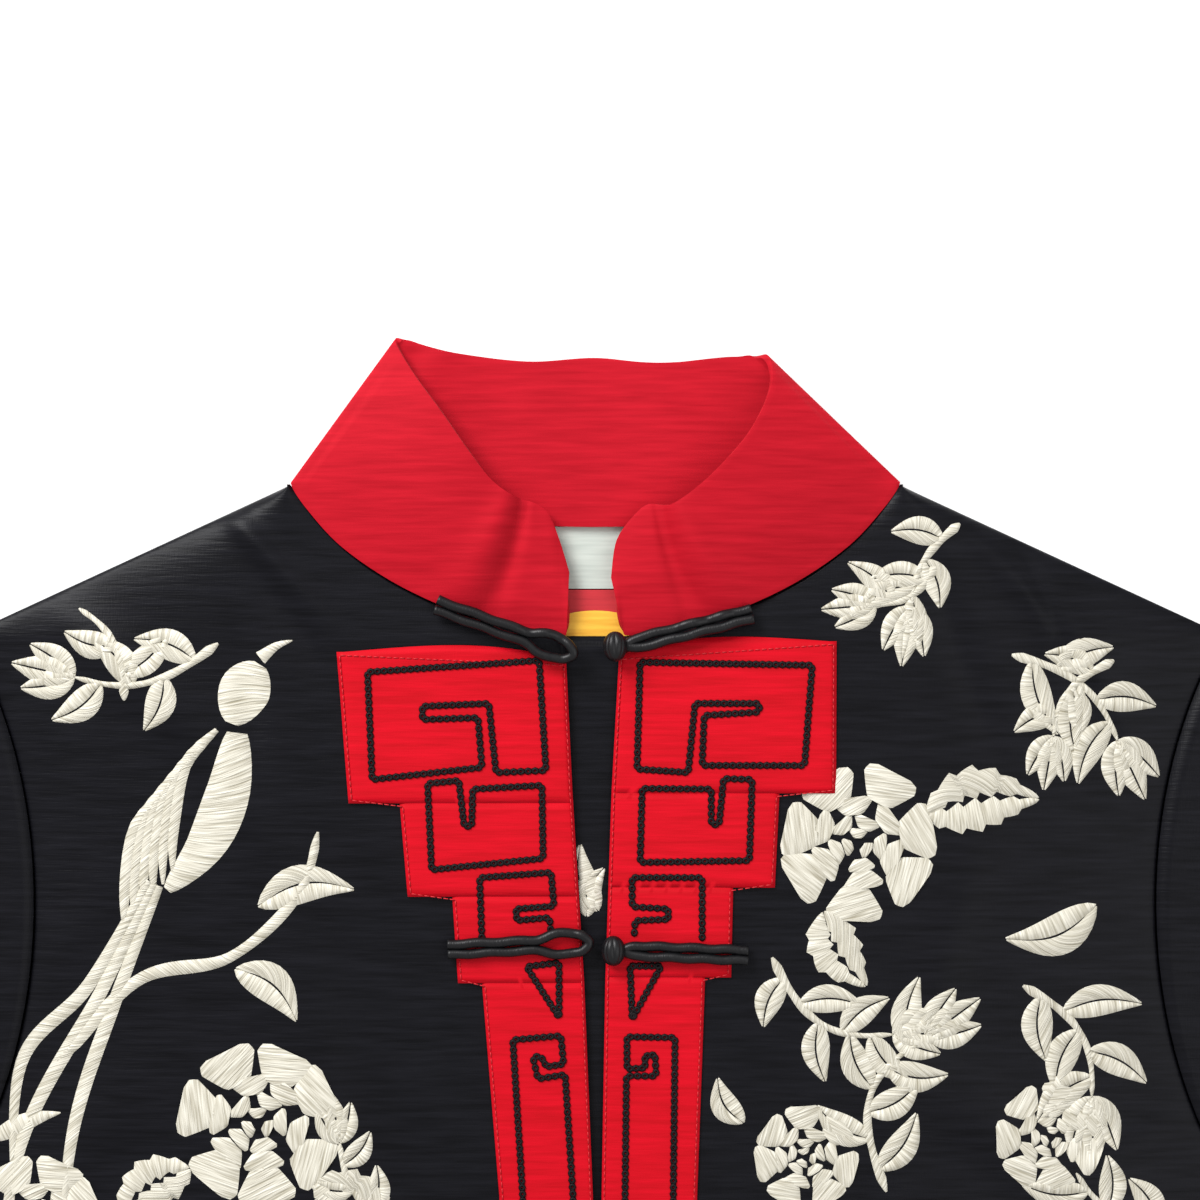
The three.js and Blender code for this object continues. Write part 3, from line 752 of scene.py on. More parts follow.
TIERS = {
    Side.LEFT: ((-64.6, -61.0, 90.5, -114, 86.3), (-114, -114, 68.4, -146.7, 65.6),
                (-146.7, -146.7, 50.0, -177, 48.0), (-177, -177, 39.6, -252, 33.5)),
    Side.RIGHT: ((-62.5, -57.2, 84.6, -110.5, 84.4), (-110.5, -110.5, 64.6, -143.5, 63.0),
                 (-143.5, -143.5, 48.4, -175, 47.7), (-175, -175, 38.6, -252, 35.8)),
}
STRIP_END = -656.0
APPLIQUE_TOP_RISE = 4.4
FRETS = {
    Side.LEFT: (
        (True, ((79.6, -68), (19.6, -64), (17.2, -102.5), (34.7, -103.2), (37.2, -79), (60.4, -80),
                (60.4, -84.6), (41, -84), (39.6, -101.4), (78, -105.6))),
        (True, ((58.6, -107), (47.7, -106), (45.8, -122), (43.2, -122), (42.8, -109), (18.6, -107.7),
                (18.2, -133.3), (57.2, -137.2))),
        (False, ((39.6, -162), (40.4, -140), (15.4, -138.2), (14.4, -150), (27.7, -151), (27.4, -155),
                 (16, -154), (15.4, -159.5))),
        (True, ((24, -171.2), (12.6, -169.8), (12.6, -189))),
        (False, ((24.5, -645), (25.3, -252), (28.8, -196.8), (12, -195.4), (11, -205.3), (17, -206.3),
                 (19, -202.5), (21.8, -202.8), (20, -210.5), (10.5, -209), (7.7, -252), (7.7, -645))),
    ),
    Side.RIGHT: (
        (True, ((15.8, -64.6), (76, -65.6), (73.3, -100.7), (37.5, -100.7), (38.2, -83.2), (57.5, -82),
                (57.5, -79), (35, -79), (32.6, -103.2), (14.7, -102))),
        (True, ((16.5, -108.8), (40.7, -109), (40.7, -121.4), (43.4, -121.4), (45, -105.3), (55, -105.6),
                (54, -134), (15.8, -134.7))),
        (False, ((37.5, -162), (37.5, -140), (13, -140), (13, -150.2), (25.6, -151), (25.6, -154.6),
                 (14, -155.1), (13.7, -160.7))),
        (True, ((12.3, -171), (23.2, -171), (13, -189.5))),
        (False, ((10.5, -645), (10.5, -252), (11, -209.5), (21.4, -209.5), (21, -202), (17.5, -202.5),
                 (17.5, -206.7), (11.2, -207), (11.2, -195.8), (28, -196), (27.4, -252), (27, -645))),
    ),
}


def drop_on(surface: BVHTree, x: float, y: float) -> float | None:
    """Find the height in mm of a surface under a plan point.

    Args:
        surface: the surface.
        x: across, in mm.
        y: along, in mm, neck frame.

    Returns:
        The height, or None where the surface has no cloth.
    """
    hit = surface.ray_cast(Vector((x * MM, (y + SHIFT_Y) * MM, 0.2)), Vector((0, 0, -1)))
    return hit[0].z / MM if hit[0] else None


@dataclass
class Applique:
    """The stepped red applique on each front, with its edge stitching and chain stitched fret."""

    lift: float = 1.1
    link_length: float = 3.1
    link_pitch: float = 2.35
    link_width: float = 2.7
    thread: float = 0.42

    def height(self, body: Body, side: Side, x: float, y: float) -> float:
        """Give the height of the applique's upper face.

        Args:
            body: holds the surfaces.
            side: the side.
            x: place across in mm.
            y: place along in mm.

        Returns:
            The height in mm.
        """
        found = drop_on(body.surfaces[f"front_{side.name.lower()}"], x, y)
        return (found if found is not None else 6.9) + self.lift

    def cloth(self, body: Body, side: Side) -> None:
        """Build the stepped cloth of one side, tier by tier, as one piece.

        Args:
            body: holds the surfaces.
            side: the side.
        """
        sign = side.value
        source = bmesh.new()
        columns = 34
        tiers = list(TIERS[side])
        end_x = tiers[-1][4]
        tiers.append((-252, -252, end_x, STRIP_END, end_x))
        for inner_top, outer_top, top_x, bottom, bottom_x in tiers:
            rows = max(6, int((inner_top - bottom) / 2.4))

            def place(u: float, v: float) -> Vector:
                """Lay a point of this tier."""
                outer = sign * mix(bottom_x, top_x, v)
                top_y = mix(inner_top, outer_top, u)
                if inner_top != outer_top:
                    top_y += APPLIQUE_TOP_RISE * math.sin(math.pi * min(1.0, u * 1.02) ** 0.75)
                y = mix(bottom, top_y, v)
                x = mix(front_edge_x(side, y) + sign * 0.2, outer, u)
                rim = 0.35 * math.exp(-min(u, 1 - u) * abs(outer) / 0.8)
                near = self.height(body, side, x, y)
                return Vector((x, y, near - rim))
            lay_grid(source, columns, rows, place, PANEL_UV)
        bmesh.ops.remove_doubles(source, verts=source.verts[:], dist=2e-5)
        source.normal_update()
        face_up(source)
        name = f"applique_cloth_{side.name.lower()}"
        body.surfaces[name] = BVHTree.FromBMesh(source)
        piece = new_object(name, source)
        thicken(piece, 0.8)
        dress(piece, APPLIQUE_RED, "red_applique", f"applique_{side.name.lower()}")

    def run(self, points: list[Point], closed: bool, pitch: float) -> list[tuple[float, float, float]]:
        """Space stitches along a line.

        Args:
            points: its corners.
            closed: whether it ends where it starts.
            pitch: about how far apart the stitches are.

        Returns:
            Each stitch's middle and direction.
        """
        made = []
        ends = points[1:] + points[:1] if closed else points[1:]
        for (x0, y0), (x1, y1) in zip(points, ends):
            length = math.hypot(x1 - x0, y1 - y0)
            count = max(1, round(length / pitch))
            angle = math.atan2(y1 - y0, x1 - x0)
            for step in range(count):
                share = (step + 0.5) / count
                made.append((mix(x0, x1, share), mix(y0, y1, share), angle))
        return made

    def stitches(self, body: Body, side: Side) -> None:
        """Lay the chain stitches of the frets and the tone-on-tone stitches inside the edge.

        Args:
            body: holds the surfaces.
            side: the side.
        """
        sign = side.value
        chain = bmesh.new()
        layer = chain.loops.layers.uv.verify()
        for closed, corners in FRETS[side]:
            points = [(sign * x, y) for x, y in corners]
            for x, y, angle in self.run(points, closed, self.link_pitch):
                made = self.ring(chain, self.link_length / 2, self.link_width / 2, self.thread)
                self.settle(chain, made, body, side, x, y, angle, 0.32)
        for face in chain.faces:
            for loop in face.loops:
                loop[layer].uv = (loop.vert.co.x, loop.vert.co.y)
        piece = new_object(f"chain_stitch_{side.name.lower()}", chain)
        dress(piece, BLACK_THREAD, "black_cord")

        edge = bmesh.new()
        edge.loops.layers.uv.verify()
        inset = 1.1
        outline = []
        for inner_top, outer_top, top_x, bottom, bottom_x in TIERS[side]:
            outline += [(sign * (top_x - inset), outer_top - inset),
                        (sign * (bottom_x - inset), bottom + inset)]
        last_x = TIERS[side][-1][4] - inset
        outline += [(sign * last_x, STRIP_END + inset)]
        inner = [(front_edge_x(side, y) + sign * inset, y)
                 for y in (STRIP_END + inset, -252, -176, -110, TIERS[side][0][0] - inset)]
        for x, y, angle in self.run(outline + inner, True, 2.3):
            made = bmesh.ops.create_cube(edge, size=1.0)["verts"]
            bmesh.ops.scale(edge, vec=(1.7, 0.34, 0.3), verts=made)
            self.settle(edge, made, body, side, x, y, angle, 0.1)
        piece = new_object(f"edge_stitch_{side.name.lower()}", edge)
        dress(piece, RED_THREAD, "red_applique")

    @staticmethod
    def ring(target: bmesh.types.BMesh, half_length: float, half_width: float,
             thread: float) -> list[bmesh.types.BMVert]:
        """Spin one chain link of thread.

        Args:
            target: the bmesh to add to.
            half_length: half the link's length.
            half_width: half its width.
            thread: half the thread's thickness.

        Returns:
            The link's points.
        """
        section = bmesh.ops.create_circle(target, segments=4, radius=thread)["verts"]
        bmesh.ops.rotate(target, cent=(0, 0, 0), matrix=ROTATE_UP, verts=section)
        bmesh.ops.translate(target, vec=(1 - thread, 0, 0), verts=section)
        edges = list({edge for vert in section for edge in vert.link_edges})
        before = set(target.verts) - set(section)
        bmesh.ops.spin(target, geom=section + edges, cent=(0, 0, 0), axis=(0, 0, 1),
                       angle=2 * math.pi, steps=8, use_merge=True)
        made = [vert for vert in target.verts if vert not in before]
        for vert in made:
            vert.co.x *= half_length
            vert.co.y *= half_width
        return made

    def settle(self, target: bmesh.types.BMesh, verts: list[bmesh.types.BMVert], body: Body, side: Side,
               x: float, y: float, angle: float, lift: float) -> None:
        """Turn a stitch and lay it on the applique.

        Args:
            target: the bmesh that holds the stitch.
            verts: the stitch's points, in mm.
            body: holds the surfaces.
            side: the side.
            x: place across in mm.
            y: place along in mm.
            angle: the stitch's direction.
            lift: its height over the cloth in mm.
        """
        z = self.height(body, side, x, y) + lift
        cosine = math.cos(angle)
        sine = math.sin(angle)
        for vert in verts:
            local = vert.co.copy()
            vert.co = ((x + local.x * cosine - local.y * sine) * MM,
                       (y + local.x * sine + local.y * cosine + SHIFT_Y) * MM, (z + local.z) * MM)

    def build(self, body: Body) -> None:
        """Build both sides on the fronts that body holds."""
        for side in Side:
            self.cloth(body, side)
            self.stitches(body, side)



@dataclass
class Frog:
    """One frog: a doubled cord with its loop on the left, and one with its knot on the right."""

    number: int
    loop_end: Point
    loop_head: Point
    knot_end: Point
    knot: Point
    rise: float = 0.0
    cord: float = 1.75
    spacing: float = 1.8
    loop_length: float = 17.0
    loop_half_width: float = 5.6
    knot_radius: float = 2.5

    def height(self, body: Body, x: float, y: float) -> float:
        """Give the height of a cord's centre where it lies on the applique or the front.

        Args:
            body: holds the surfaces.
            x: place across in mm.
            y: place along in mm.

        Returns:
            The height in mm.
        """
        side = Side.LEFT if x < 0 else Side.RIGHT
        surface = body.surfaces[f"applique_cloth_{side.name.lower()}"]
        found = drop_on(surface, x, y)
        if found is None:
            found = drop_on(body.surfaces[f"front_{side.name.lower()}"], x, y)
            found = 8.2 if found is None else found + 0.9
        return found + self.cord + 0.15 + self.rise

    def tube(self, name: str, points: list[Vector], node: str) -> None:
        """Make a cord through points and dress it.

        Args:
            name: the piece's name.
            points: its route in mm, neck frame.
            node: the CAD node that it stands for.
        """
        curve = bpy.data.curves.new(name, "CURVE")
        curve.dimensions = "3D"
        curve.bevel_depth = self.cord * MM
        curve.bevel_resolution = 4
        curve.resolution_u = 6
        curve.use_fill_caps = True
        spline = curve.splines.new("NURBS")
        spline.points.add(len(points) - 1)
        spline.order_u = 3
        spline.use_endpoint_u = True
        for target, point in zip(spline.points, points):
            target.co = (point.x * MM, (point.y + SHIFT_Y) * MM, point.z * MM, 1)
        holder = bpy.data.objects.new(name + "_path", curve)
        bpy.context.scene.collection.objects.link(holder)
        bpy.context.view_layer.update()
        shape = bpy.data.meshes.new_from_object(holder.evaluated_get(bpy.context.evaluated_depsgraph_get()))
        bpy.data.objects.remove(holder)
        source = bmesh.new()
        source.from_mesh(shape)
        bpy.data.meshes.remove(shape)
        bmesh.ops.remove_doubles(source, verts=source.verts[:], dist=1e-6)
        layer = source.loops.layers.uv.verify()
        for face in source.faces:
            for loop in face.loops:
                loop[layer].uv = (loop.vert.co.y * 1.4, loop.vert.co.x + loop.vert.co.z)
        piece = new_object(name, source)
        dress(piece, CORD_BLACK, "black_cord", node)

    def doubled(self, body: Body, end: Point, head: Point, loop: bool) -> list[Vector]:
        """Route a cord out to its head and back.

        Args:
            body: holds the surfaces.
            end: the outer end.
            head: the head.
            loop: whether it opens into a loop.

        Returns:
            The route.
        """
        start = Vector(end)
        tip = Vector(head)
        way = tip - start
        length = way.length
        way.normalize()
        across = Vector((-way.y, way.x))
        open_from = 1 - self.loop_length / length
        route = []
        for sign in (1, -1):
            run = []
            for step in range(19):
                share = step / 19 * 0.99
                within = max(0.0, (share - open_from) / (1 - open_from))
                bulge = math.sin(math.pi * within ** 0.85) ** 0.8 if loop and within > 0 else 0.0
                sway = 0.25 * math.sin(share * 23 + self.number + sign)
                spread = mix(self.spacing, self.loop_half_width - self.cord, bulge)
                if share > 0.93 and not bulge:
                    spread *= 0.75
                place = start.lerp(tip, share) + across * sign * spread + across * sway
                climb = 0.5 * (1 + sign) * 0.5 * math.sin(math.pi * share)
                run.append(Vector((place.x, place.y, self.height(body, place.x, place.y) + climb)))
            if sign == 1:
                route = run
                route.append(Vector((tip.x, tip.y, self.height(body, tip.x, tip.y))))
            else:
                route += run[::-1]
        return route

    def build(self, body: Body) -> None:
        """Build the cords and the knot button.

        Args:
            body: holds the surfaces.
        """
        head = (self.loop_head[0] - self.cord, self.loop_head[1])
        self.tube(f"frog_loop_cord_{self.number}", self.doubled(body, self.loop_end, head, True),
                  f"frog_loop_{self.number}")
        stop = (self.knot[0] + 3.2, self.knot[1])
        self.tube(f"frog_tail_cord_{self.number}", self.doubled(body, self.knot_end, stop, False),
                  f"frog_tail_{self.number}")
        knot_z = self.height(body, *self.knot) + 1.4
        route = []
        turns = 90
        for step in range(turns + 1):
            turn = 12 * math.pi * step / turns
            swing = math.pi * (step / turns - 0.5)
            route.append(Vector((self.knot[0] + self.knot_radius * math.sin(turn) * math.cos(swing),
                                 self.knot[1] + self.knot_radius * 1.45 * math.cos(turn),
                                 knot_z + self.knot_radius * math.sin(turn) * math.sin(swing))))
        self.tube(f"frog_knot_cord_{self.number}", route, f"frog_knot_{self.number}")


@dataclass
class Embroidery:
    """Raised satin stitch motifs: blossoms, leaves, sprigs, buds and long-tailed birds."""

    crown: float = 0.75
    made: dict[str, bmesh.types.BMesh] = field(default_factory=dict)
    surface: BVHTree | None = None
    target: bmesh.types.BMesh | None = None
    downward: bool = False

    def stroke(self, spine: list[Point], profile: Callable[[float], float], columns: int = 5,
               rows: int = 12, slant: float = 0.5) -> None:
        """Lay one block of satin stitch along a spine.

        Args:
            spine: the spine's points in mm.
            profile: half width in mm at a share of the way along.
            columns: cells across.
            rows: cells along.
            slant: how far the threads lean, as a share of the width.
        """
        length = sum(math.dist(a, b) for a, b in zip(spine, spine[1:]))
        offset = random.random()

        def place(u: float, v: float) -> Vector:
            """Lay a point of the block, crowned between its edges."""
            x, y = catmull(tuple(spine), v)
            x1, y1 = catmull(tuple(spine), min(1.0, v + 0.02))
            x0, y0 = catmull(tuple(spine), max(0.0, v - 0.02))
            way = Vector((x1 - x0, y1 - y0)).normalized()
            half = profile(v)
            off = (2 * u - 1) * half
            px = x - way.y * off
            py = y + way.x * off
            base = drop_on(self.surface, px, py)
            if base is None:
                return Vector((px, py, -999.0))
            crown = self.crown * math.sqrt(max(0.0, 1 - (2 * u - 1) ** 2)) * min(1.0, half / 1.2)
            return Vector((px, py, base + 0.06 + crown if not self.downward else -0.05 - 0.2 * crown))
        verts = lay_grid(self.target, columns, rows, place, (1.0, 1.0))
        if any(vert.co.z < -0.5 for vert in verts):
            bmesh.ops.delete(self.target, geom=verts, context="VERTS")
            return
        layer = self.target.loops.layers.uv.verify()
        faces = {face for vert in verts for face in vert.link_faces}
        for face in faces:
            for loop in face.loops:
                u, v = loop[layer].uv
                u, v = u / MM, v / MM
                half = profile(v)
                lean = slant * (2 * u - 1) * half
                loop[layer].uv = ((2 * u - 1) * half * MM + offset, (v * length + lean) * MM + offset)

    def leaf(self, x: float, y: float, degrees: float, length: float, width: float, bend: float = 0.15,
             teeth: int = 0) -> None:
        """Lay a leaf in two halves with a dark rib between them.

        Args:
            x: the place of its stalk, across.
            y: the place of its stalk, along.
            degrees: its direction.
            length: its length in mm.
            width: its width in mm.
            bend: how far it bends, as a share of its length.
            teeth: how many teeth each edge has.
        """
        angle = math.radians(degrees)
        for sign in (1, -1):
            spine = []
            for step in range(7):
                share = step / 6
                along = share * length
                side = bend * length * math.sin(math.pi * share) + sign * (
                    0.35 + width * 0.25 * math.sin(math.pi * share ** 0.8))
                spine.append((x + along * math.cos(angle) - side * math.sin(angle),
                              y + along * math.sin(angle) + side * math.cos(angle)))

            def profile(v: float) -> float:
                """Give the half width of one half of the leaf."""
                plain = width * 0.24 * math.sin(math.pi * min(1.0, v ** 0.8 * 0.98 + 0.01)) + 0.12
                if teeth:
                    plain *= 0.72 + 0.55 * ((v * teeth) % 1.0)
                return plain
            self.stroke(spine, profile, 4, 12 if not teeth else 4 * teeth, 0.9 * sign + 0.9)

    def stem(self, points: list[Point], width: float = 1.6) -> None:
        """Lay a tapering stem through points."""
        self.stroke(points, lambda v: width * (1 - 0.45 * v) * (1 + 0.12 * math.sin(21 * v))
                    * min(1.0, 0.25 + 9 * (1 - v), 0.25 + 9 * v), 4, 10 * len(points), 0.8)

    def petal(self, x: float, y: float, degrees: float, length: float, width: float) -> None:
        """Lay a rounded petal that widens to a notched rim."""
        angle = math.radians(degrees)
        spine = [(x + share * length * math.cos(angle), y + share * length * math.sin(angle))
                 for share in (0, 0.25, 0.5, 0.75, 1)]
        self.stroke(spine, lambda v: 0.3 + width * 0.5 * math.sqrt(max(0.0, 1 - (1.55 * v - 0.75) ** 4))
                    * (0.45 + 0.55 * min(1.0, 1.5 * v)) * (1 if v < 0.97 else 0.82), 8, 9, 0.35)

    def blossom(self, x: float, y: float, size: float, turn: float = 0.0) -> None:
        """Lay a full blossom: rings of petals that grow smaller towards its heart.

        Args:
            x: its middle, across.
            y: its middle, along.
            size: its width in mm.
            turn: how far it is turned, in degrees.
        """
        for ring, (count, start, length, width) in enumerate((
                (7, 0.285, 0.235, 0.37), (6, 0.19, 0.12, 0.255), (5, 0.105, 0.085, 0.17),
                (3, 0.035, 0.065, 0.11))):
            for index in range(count):
                degrees = turn + 360 * index / count + 25 * ring + random.uniform(-7, 7)
                angle = math.radians(degrees)
                reach = size * start * random.uniform(0.95, 1.06)
                self.petal(x + reach * math.cos(angle), y + reach * math.sin(angle), degrees,
                           size * length, size * width)

    def bud(self, x: float, y: float, degrees: float, size: float) -> None:
        """Lay a bud of three folded petals."""
        for spread, share in ((-24, 0.85), (24, 0.85), (0, 1.0)):
            self.leaf(x, y, degrees + spread, size * share, size * 0.42, 0.05 * spread / 24)

    def sprig(self, x: float, y: float, degrees: float, length: float, bend: float = 0.2,
              leaves: int = 5, size: float = 24.0, blossom: float = 0.0) -> None:
        """Lay a curved stem with leaves on alternate sides and a bud or blossom at its end.

        Args:
            x: the stem's foot, across.
            y: the stem's foot, along.
            degrees: its direction.
            length: its length in mm.
            bend: how far it bends, as a share of its length.
            leaves: how many leaves it has.
            size: the leaves' length in mm.
            blossom: the blossom's width in mm, or 0 for a bud.
        """
        angle = math.radians(degrees)
        points = []
        for step in range(6):
            share = step / 5
            along = share * length
            side = bend * length * math.sin(math.pi * share * 0.9)
            points.append((x + along * math.cos(angle) - side * math.sin(angle),
                           y + along * math.sin(angle) + side * math.cos(angle)))
        self.stem(points)
        for index in range(leaves):
            share = (index + 0.8) / (leaves + 0.6)
            px, py = catmull(tuple(points), share)
            qx, qy = catmull(tuple(points), min(1.0, share + 0.05))
            heading = math.degrees(math.atan2(qy - py, qx - px))
            turn = 48 if index % 2 else -52
            self.leaf(px, py, heading + turn, size * random.uniform(0.8, 1.15), size * 0.42,
                      0.1 if index % 2 else -0.1)
        px, py = points[-1]
        heading = math.degrees(math.atan2(py - points[-2][1], px - points[-2][0]))
        if blossom:
            reach = blossom * 0.42
            self.blossom(px + reach * math.cos(math.radians(heading)),
                         py + reach * math.sin(math.radians(heading)), blossom, heading)
        else:
            self.bud(px, py, heading, size * 0.95)

    def bird(self, x: float, y: float, degrees: float, size: float, flip: int = 1) -> None:
        """Lay a long-tailed bird: head, breast, folded wing feathers and streaming tail.

        Args:
            x: the root of its tail, across.
            y: the root of its tail, along.
            degrees: its direction.
            size: its length without the tail in mm.
            flip: -1 mirrors it.
        """
        angle = math.radians(degrees)

        def at(along: float, side: float) -> Point:
            """Place a point of the bird, in shares of its size."""
            side *= flip
            return (x + size * (along * math.cos(angle) - side * math.sin(angle)),
                    y + size * (along * math.sin(angle) + side * math.cos(angle)))
        self.stroke([at(0.98, 0.02), at(0.88, 0.03), at(0.76, 0.02)],
                    lambda v: size * 0.085 * math.sin(math.pi * (0.08 + 0.84 * v)) + 0.2, 8, 12)
        self.stroke([at(1.0, 0.03), at(1.06, 0.0), at(1.10, -0.04)], lambda v: size * 0.022 * (1.1 - v), 4, 6)
        self.stroke([at(0.74, -0.01), at(0.55, -0.07), at(0.35, -0.08), at(0.16, -0.03)],
                    lambda v: size * 0.075 * math.sin(math.pi * (0.14 + 0.8 * v)) + 0.2, 8, 16)
        for index in range(6):
            start = 0.72 - 0.05 * index
            side = 0.055 + 0.012 * index
            self.stroke([at(start, side), at(start - 0.16, side + 0.045), at(start - 0.36, side - 0.01),
                         at(start - 0.5, side - 0.075)],
                        lambda v: size * 0.021 * math.sin(math.pi * (0.1 + 0.86 * v)) + 0.2, 4, 12, 0.9)
        for index, (length, spread) in enumerate(((1.35, -0.16), (1.55, -0.02), (1.15, 0.10))):
            self.stroke([at(0.16, 0.0 + 0.02 * index), at(-0.25, 0.03 + spread * 0.4),
                         at(0.1 - length * 0.6, 0.06 + spread), at(0.1 - length, spread - 0.14)],
                        lambda v: size * 0.021 * (0.55 + 0.5 * math.sin(math.pi * v)) * (1.1 - v ** 6),
                        4, 36, 1.0)

    def start(self, name: str, surface: BVHTree, downward: bool = False) -> None:
        """Start a panel's embroidery.

        Args:
            name: the piece's name.
            surface: the panel's surface.
            downward: whether it lies on the underside.
        """
        self.target = bmesh.new()
        self.made[name] = self.target
        self.surface = surface
        self.downward = downward

    def finish(self) -> None:
        """Turn every panel's embroidery into a piece."""
        for name, source in self.made.items():
            source.normal_update()
            flip = [face for face in source.faces if face.normal.z < 0]
            if name.endswith("back"):
                flip = [face for face in source.faces if face.normal.z > 0]
            if flip:
                bmesh.ops.reverse_faces(source, faces=flip)
            piece = new_object(name, source)
            dress(piece, IVORY, "ivory_thread")
            logging.info("%s: %d faces", name, len(piece.data.polygons))

    def build(self, body: Body) -> None:
        """Lay every panel's motifs.

        Args:
            body: holds the surfaces.
        """
        self.start("embroidery_left", body.surfaces["front_left"])
        self.bird(-160, -158, 64, 104, 1)
        self.stem([(-190, -206), (-160, -176), (-128, -168), (-104, -146), (-97, -124)], 2.6)
        self.leaf(-186, -176, 150, 26, 12)
        self.leaf(-126, -172, -40, 28, 13)
        self.blossom(-118, -226, 54, 20)
        self.leaf(-98, -246, -40, 36, 20, 0.1, 6)
        self.leaf(-142, -242, 215, 32, 18, -0.1, 6)
        self.sprig(-132, -58, 190, 52, 0.18, 4, 24)
        self.sprig(-165, -78, 120, 36, -0.2, 3, 22)
        self.leaf(-118, -150, 10, 34, 13)
        self.leaf(-214, -232, 20, 28, 13)
        self.sprig(-72, -262, 118, 34, 0.15, 3, 18)
        self.blossom(-196, -262, 46, 70)
        self.sprig(-240, -330, 50, 60, 0.2, 5, 26)
        for x, y, degrees, kind in ((-90, -330, 100, 0), (-200, -390, 30, 1), (-100, -430, 250, 0),
                                    (-215, -470, 80, 0), (-120, -520, 20, 1), (-220, -570, 130, 0),
                                    (-75, -600, 160, 0)):
            self.sprig(x, y, degrees, 56, 0.2, 5, 25, 50.0 if kind else 0.0)

        self.start("embroidery_right", body.surfaces["front_right"])
        self.sprig(128, -16, -118, 34, -0.15, 3, 22)
        self.sprig(120, -30, -150, 26, 0.2, 3, 20)
        self.blossom(92, -128, 52, 10)
        self.leaf(116, -118, 8, 40, 22, 0.08, 6)
        self.leaf(80, -152, -60, 30, 18, -0.1, 5)
        self.sprig(146, -62, -42, 48, 0.18, 5, 24)
        self.sprig(182, -64, 235, 34, -0.2, 3, 20)
        self.sprig(62, -168, -28, 50, -0.25, 5, 22)
        self.sprig(102, -250, 70, 56, 0.3, 6, 24)
        self.sprig(150, -178, -62, 46, 0.22, 5, 25)
        self.leaf(176, -150, 200, 34, 14)
        self.blossom(74, -238, 34, 40)
        self.leaf(52, -226, 120, 18, 9)
        self.sprig(206, -262, 150, 42, 0.2, 4, 22, 36.0)
        self.bird(170, -400, 118, 76, -1)
        for x, y, degrees, kind in ((60, -300, 20, 0), (200, -330, 250, 0), (80, -370, 60, 1),
                                    (90, -470, 100, 0), (220, -480, 40, 0), (120, -560, 10, 1),
                                    (230, -600, 150, 0), (60, -620, 40, 0)):
            self.sprig(x, y, degrees, 54, -0.2, 5, 24, 48.0 if kind else 0.0)

        self.start("embroidery_underlap", body.surfaces["underlap_cloth"])
        self.leaf(1, -152, 105, 24, 12)
        self.leaf(-3, -154, 70, 18, 9)

        for side in Side:
            name = side.name.lower()
            sign = side.value
            self.start(f"embroidery_sleeve_{name}", body.surfaces[f"sleeve_cloth_{name}"])
            for x, y, degrees, kind in ((236, -88, -40, 0), (226, -150, -15, 0), (236, -218, -30, 1),
                                        (300, -160, -30, 0), (360, -200, -60, 1), (330, -262, -10, 0),
                                        (420, -270, -30, 0), (470, -240, -45, 0), (480, -330, 20, 1),
                                        (540, -330, -50, 0), (590, -400, -20, 0), (640, -380, -80, 0)):
                heading = degrees if sign > 0 else 180 - degrees
                self.sprig(sign * x, y, heading, 48, 0.2 * sign, 5, 24, 44.0 if kind else 0.0)

        self.start("embroidery_back", body.surfaces["back"], True)
        for row in range(6):
            for column in range(5):
                x = -200 + 100 * column + (25 if row % 2 else -15)
                y = -90 - 100 * row
                if abs(x) < 235 and not (row < 2 and abs(x) > 165):
                    self.sprig(x, y, 40 + 73 * column + 40 * row, 50, 0.2, 5, 26,
                               46.0 if (row + column) % 3 == 0 else 0.0)
        self.finish()


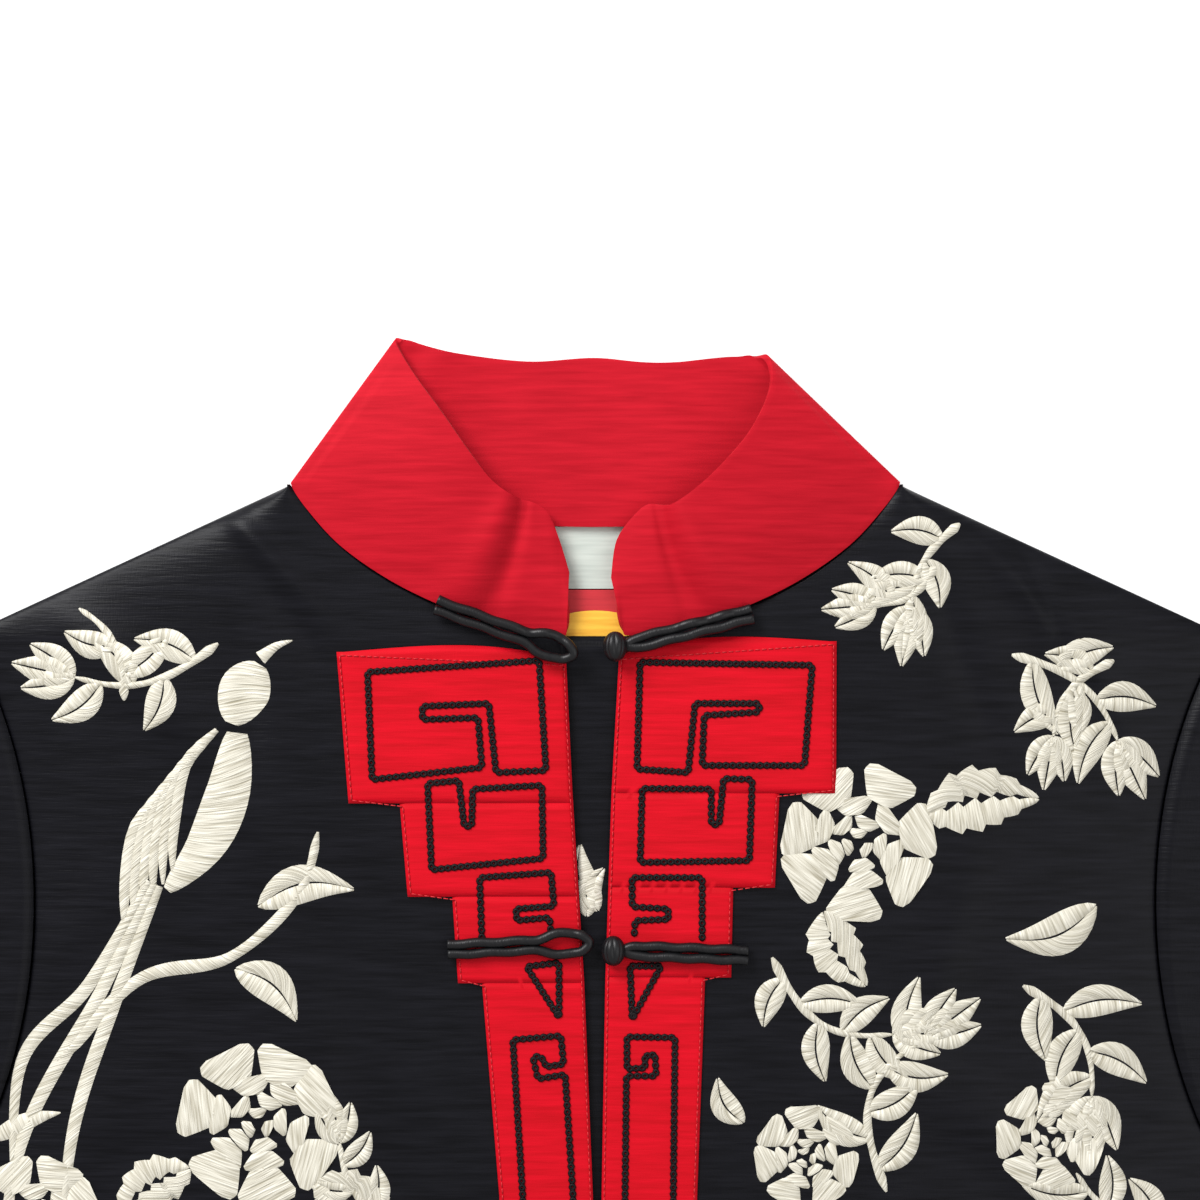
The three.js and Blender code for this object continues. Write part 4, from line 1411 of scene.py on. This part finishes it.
def build_stage() -> None:
    """Build the pale floor, the soft light and the camera straight above the chest."""
    source = bmesh.new()
    bmesh.ops.create_grid(source, x_segments=1, y_segments=1, size=FLOOR_HALF)
    bmesh.ops.translate(source, vec=(0, 0, -FLOOR_DROP), verts=source.verts[:])
    floor = new_object("floor", source, False)
    material = bpy.data.materials.new("floor")
    material.use_nodes = True
    shader = material.node_tree.nodes["Principled BSDF"]
    shader.inputs["Base Color"].default_value = (0.93, 0.93, 0.93, 1)
    shader.inputs["Roughness"].default_value = 0.9
    floor.data.materials.append(material)
    world = bpy.data.worlds.new("studio")
    world.use_nodes = True
    world.node_tree.nodes["Background"].inputs[0].default_value = (1, 1, 1, 1)
    world.node_tree.nodes["Background"].inputs[1].default_value = WORLD_STRENGTH
    bpy.context.scene.view_settings.view_transform = "Standard"
    bpy.context.scene.world = world
    for name, place, size, power in LAMPS:
        light = bpy.data.lights.new(name, "AREA")
        light.size = size
        light.energy = power
        lamp = bpy.data.objects.new(name, light)
        lamp.location = PHOTO_CENTRE + Vector(place)
        lamp.rotation_euler = (PHOTO_CENTRE - lamp.location).to_track_quat("-Z", "Y").to_euler()
        bpy.context.scene.collection.objects.link(lamp)
    camera = bpy.data.cameras.new("camera")
    camera.lens = camera.sensor_width * CAMERA_HEIGHT / VIEW_WIDTH
    eye = bpy.data.objects.new("camera", camera)
    eye.location = PHOTO_CENTRE + Vector((0, 0, CAMERA_HEIGHT + CLOTH_LEVEL))
    bpy.context.scene.collection.objects.link(eye)
    bpy.context.scene.camera = eye


def dress_labels() -> None:
    """Give the neck labels, which keep their CAD shapes, their woven finishes."""
    for node, finish in (("label_pale", LABEL_PALE), ("label_red", LABEL_RED), ("label_oval", LABEL_YELLOW)):
        label = bpy.data.objects[node]
        label.data.materials.clear()
        label.data.materials.append(finish.material())


def main() -> None:
    """Build the jacket in the order that it is sewn."""
    logging.basicConfig(level=logging.INFO)
    random.seed(SEED)
    GROUPS["weave"] = build_weave_group()
    GROUPS["stitch"] = build_stitch_group()
    build_stage()
    dress_labels()
    body = Body()
    body.build()
    Sleeves().build(body)
    Collar().build()
    Applique().build(body)
    Frog(1, (-55.5, -44.5), (-5.0, -62.0), (55.0, -47.5), (7.0, -59.0), 1.9).build(body)
    for number in range(2, FROG_COUNT + 1):
        drop = -FROG_SPACING * (number - 2)
        Frog(number, (-51.5, -165 + drop), (0.5, -162.5 + drop), (53.5, -167 + drop),
             (6.4, -165.4 + drop)).build(body)
    Embroidery().build(body)


if __name__ == "__main__":
    main()
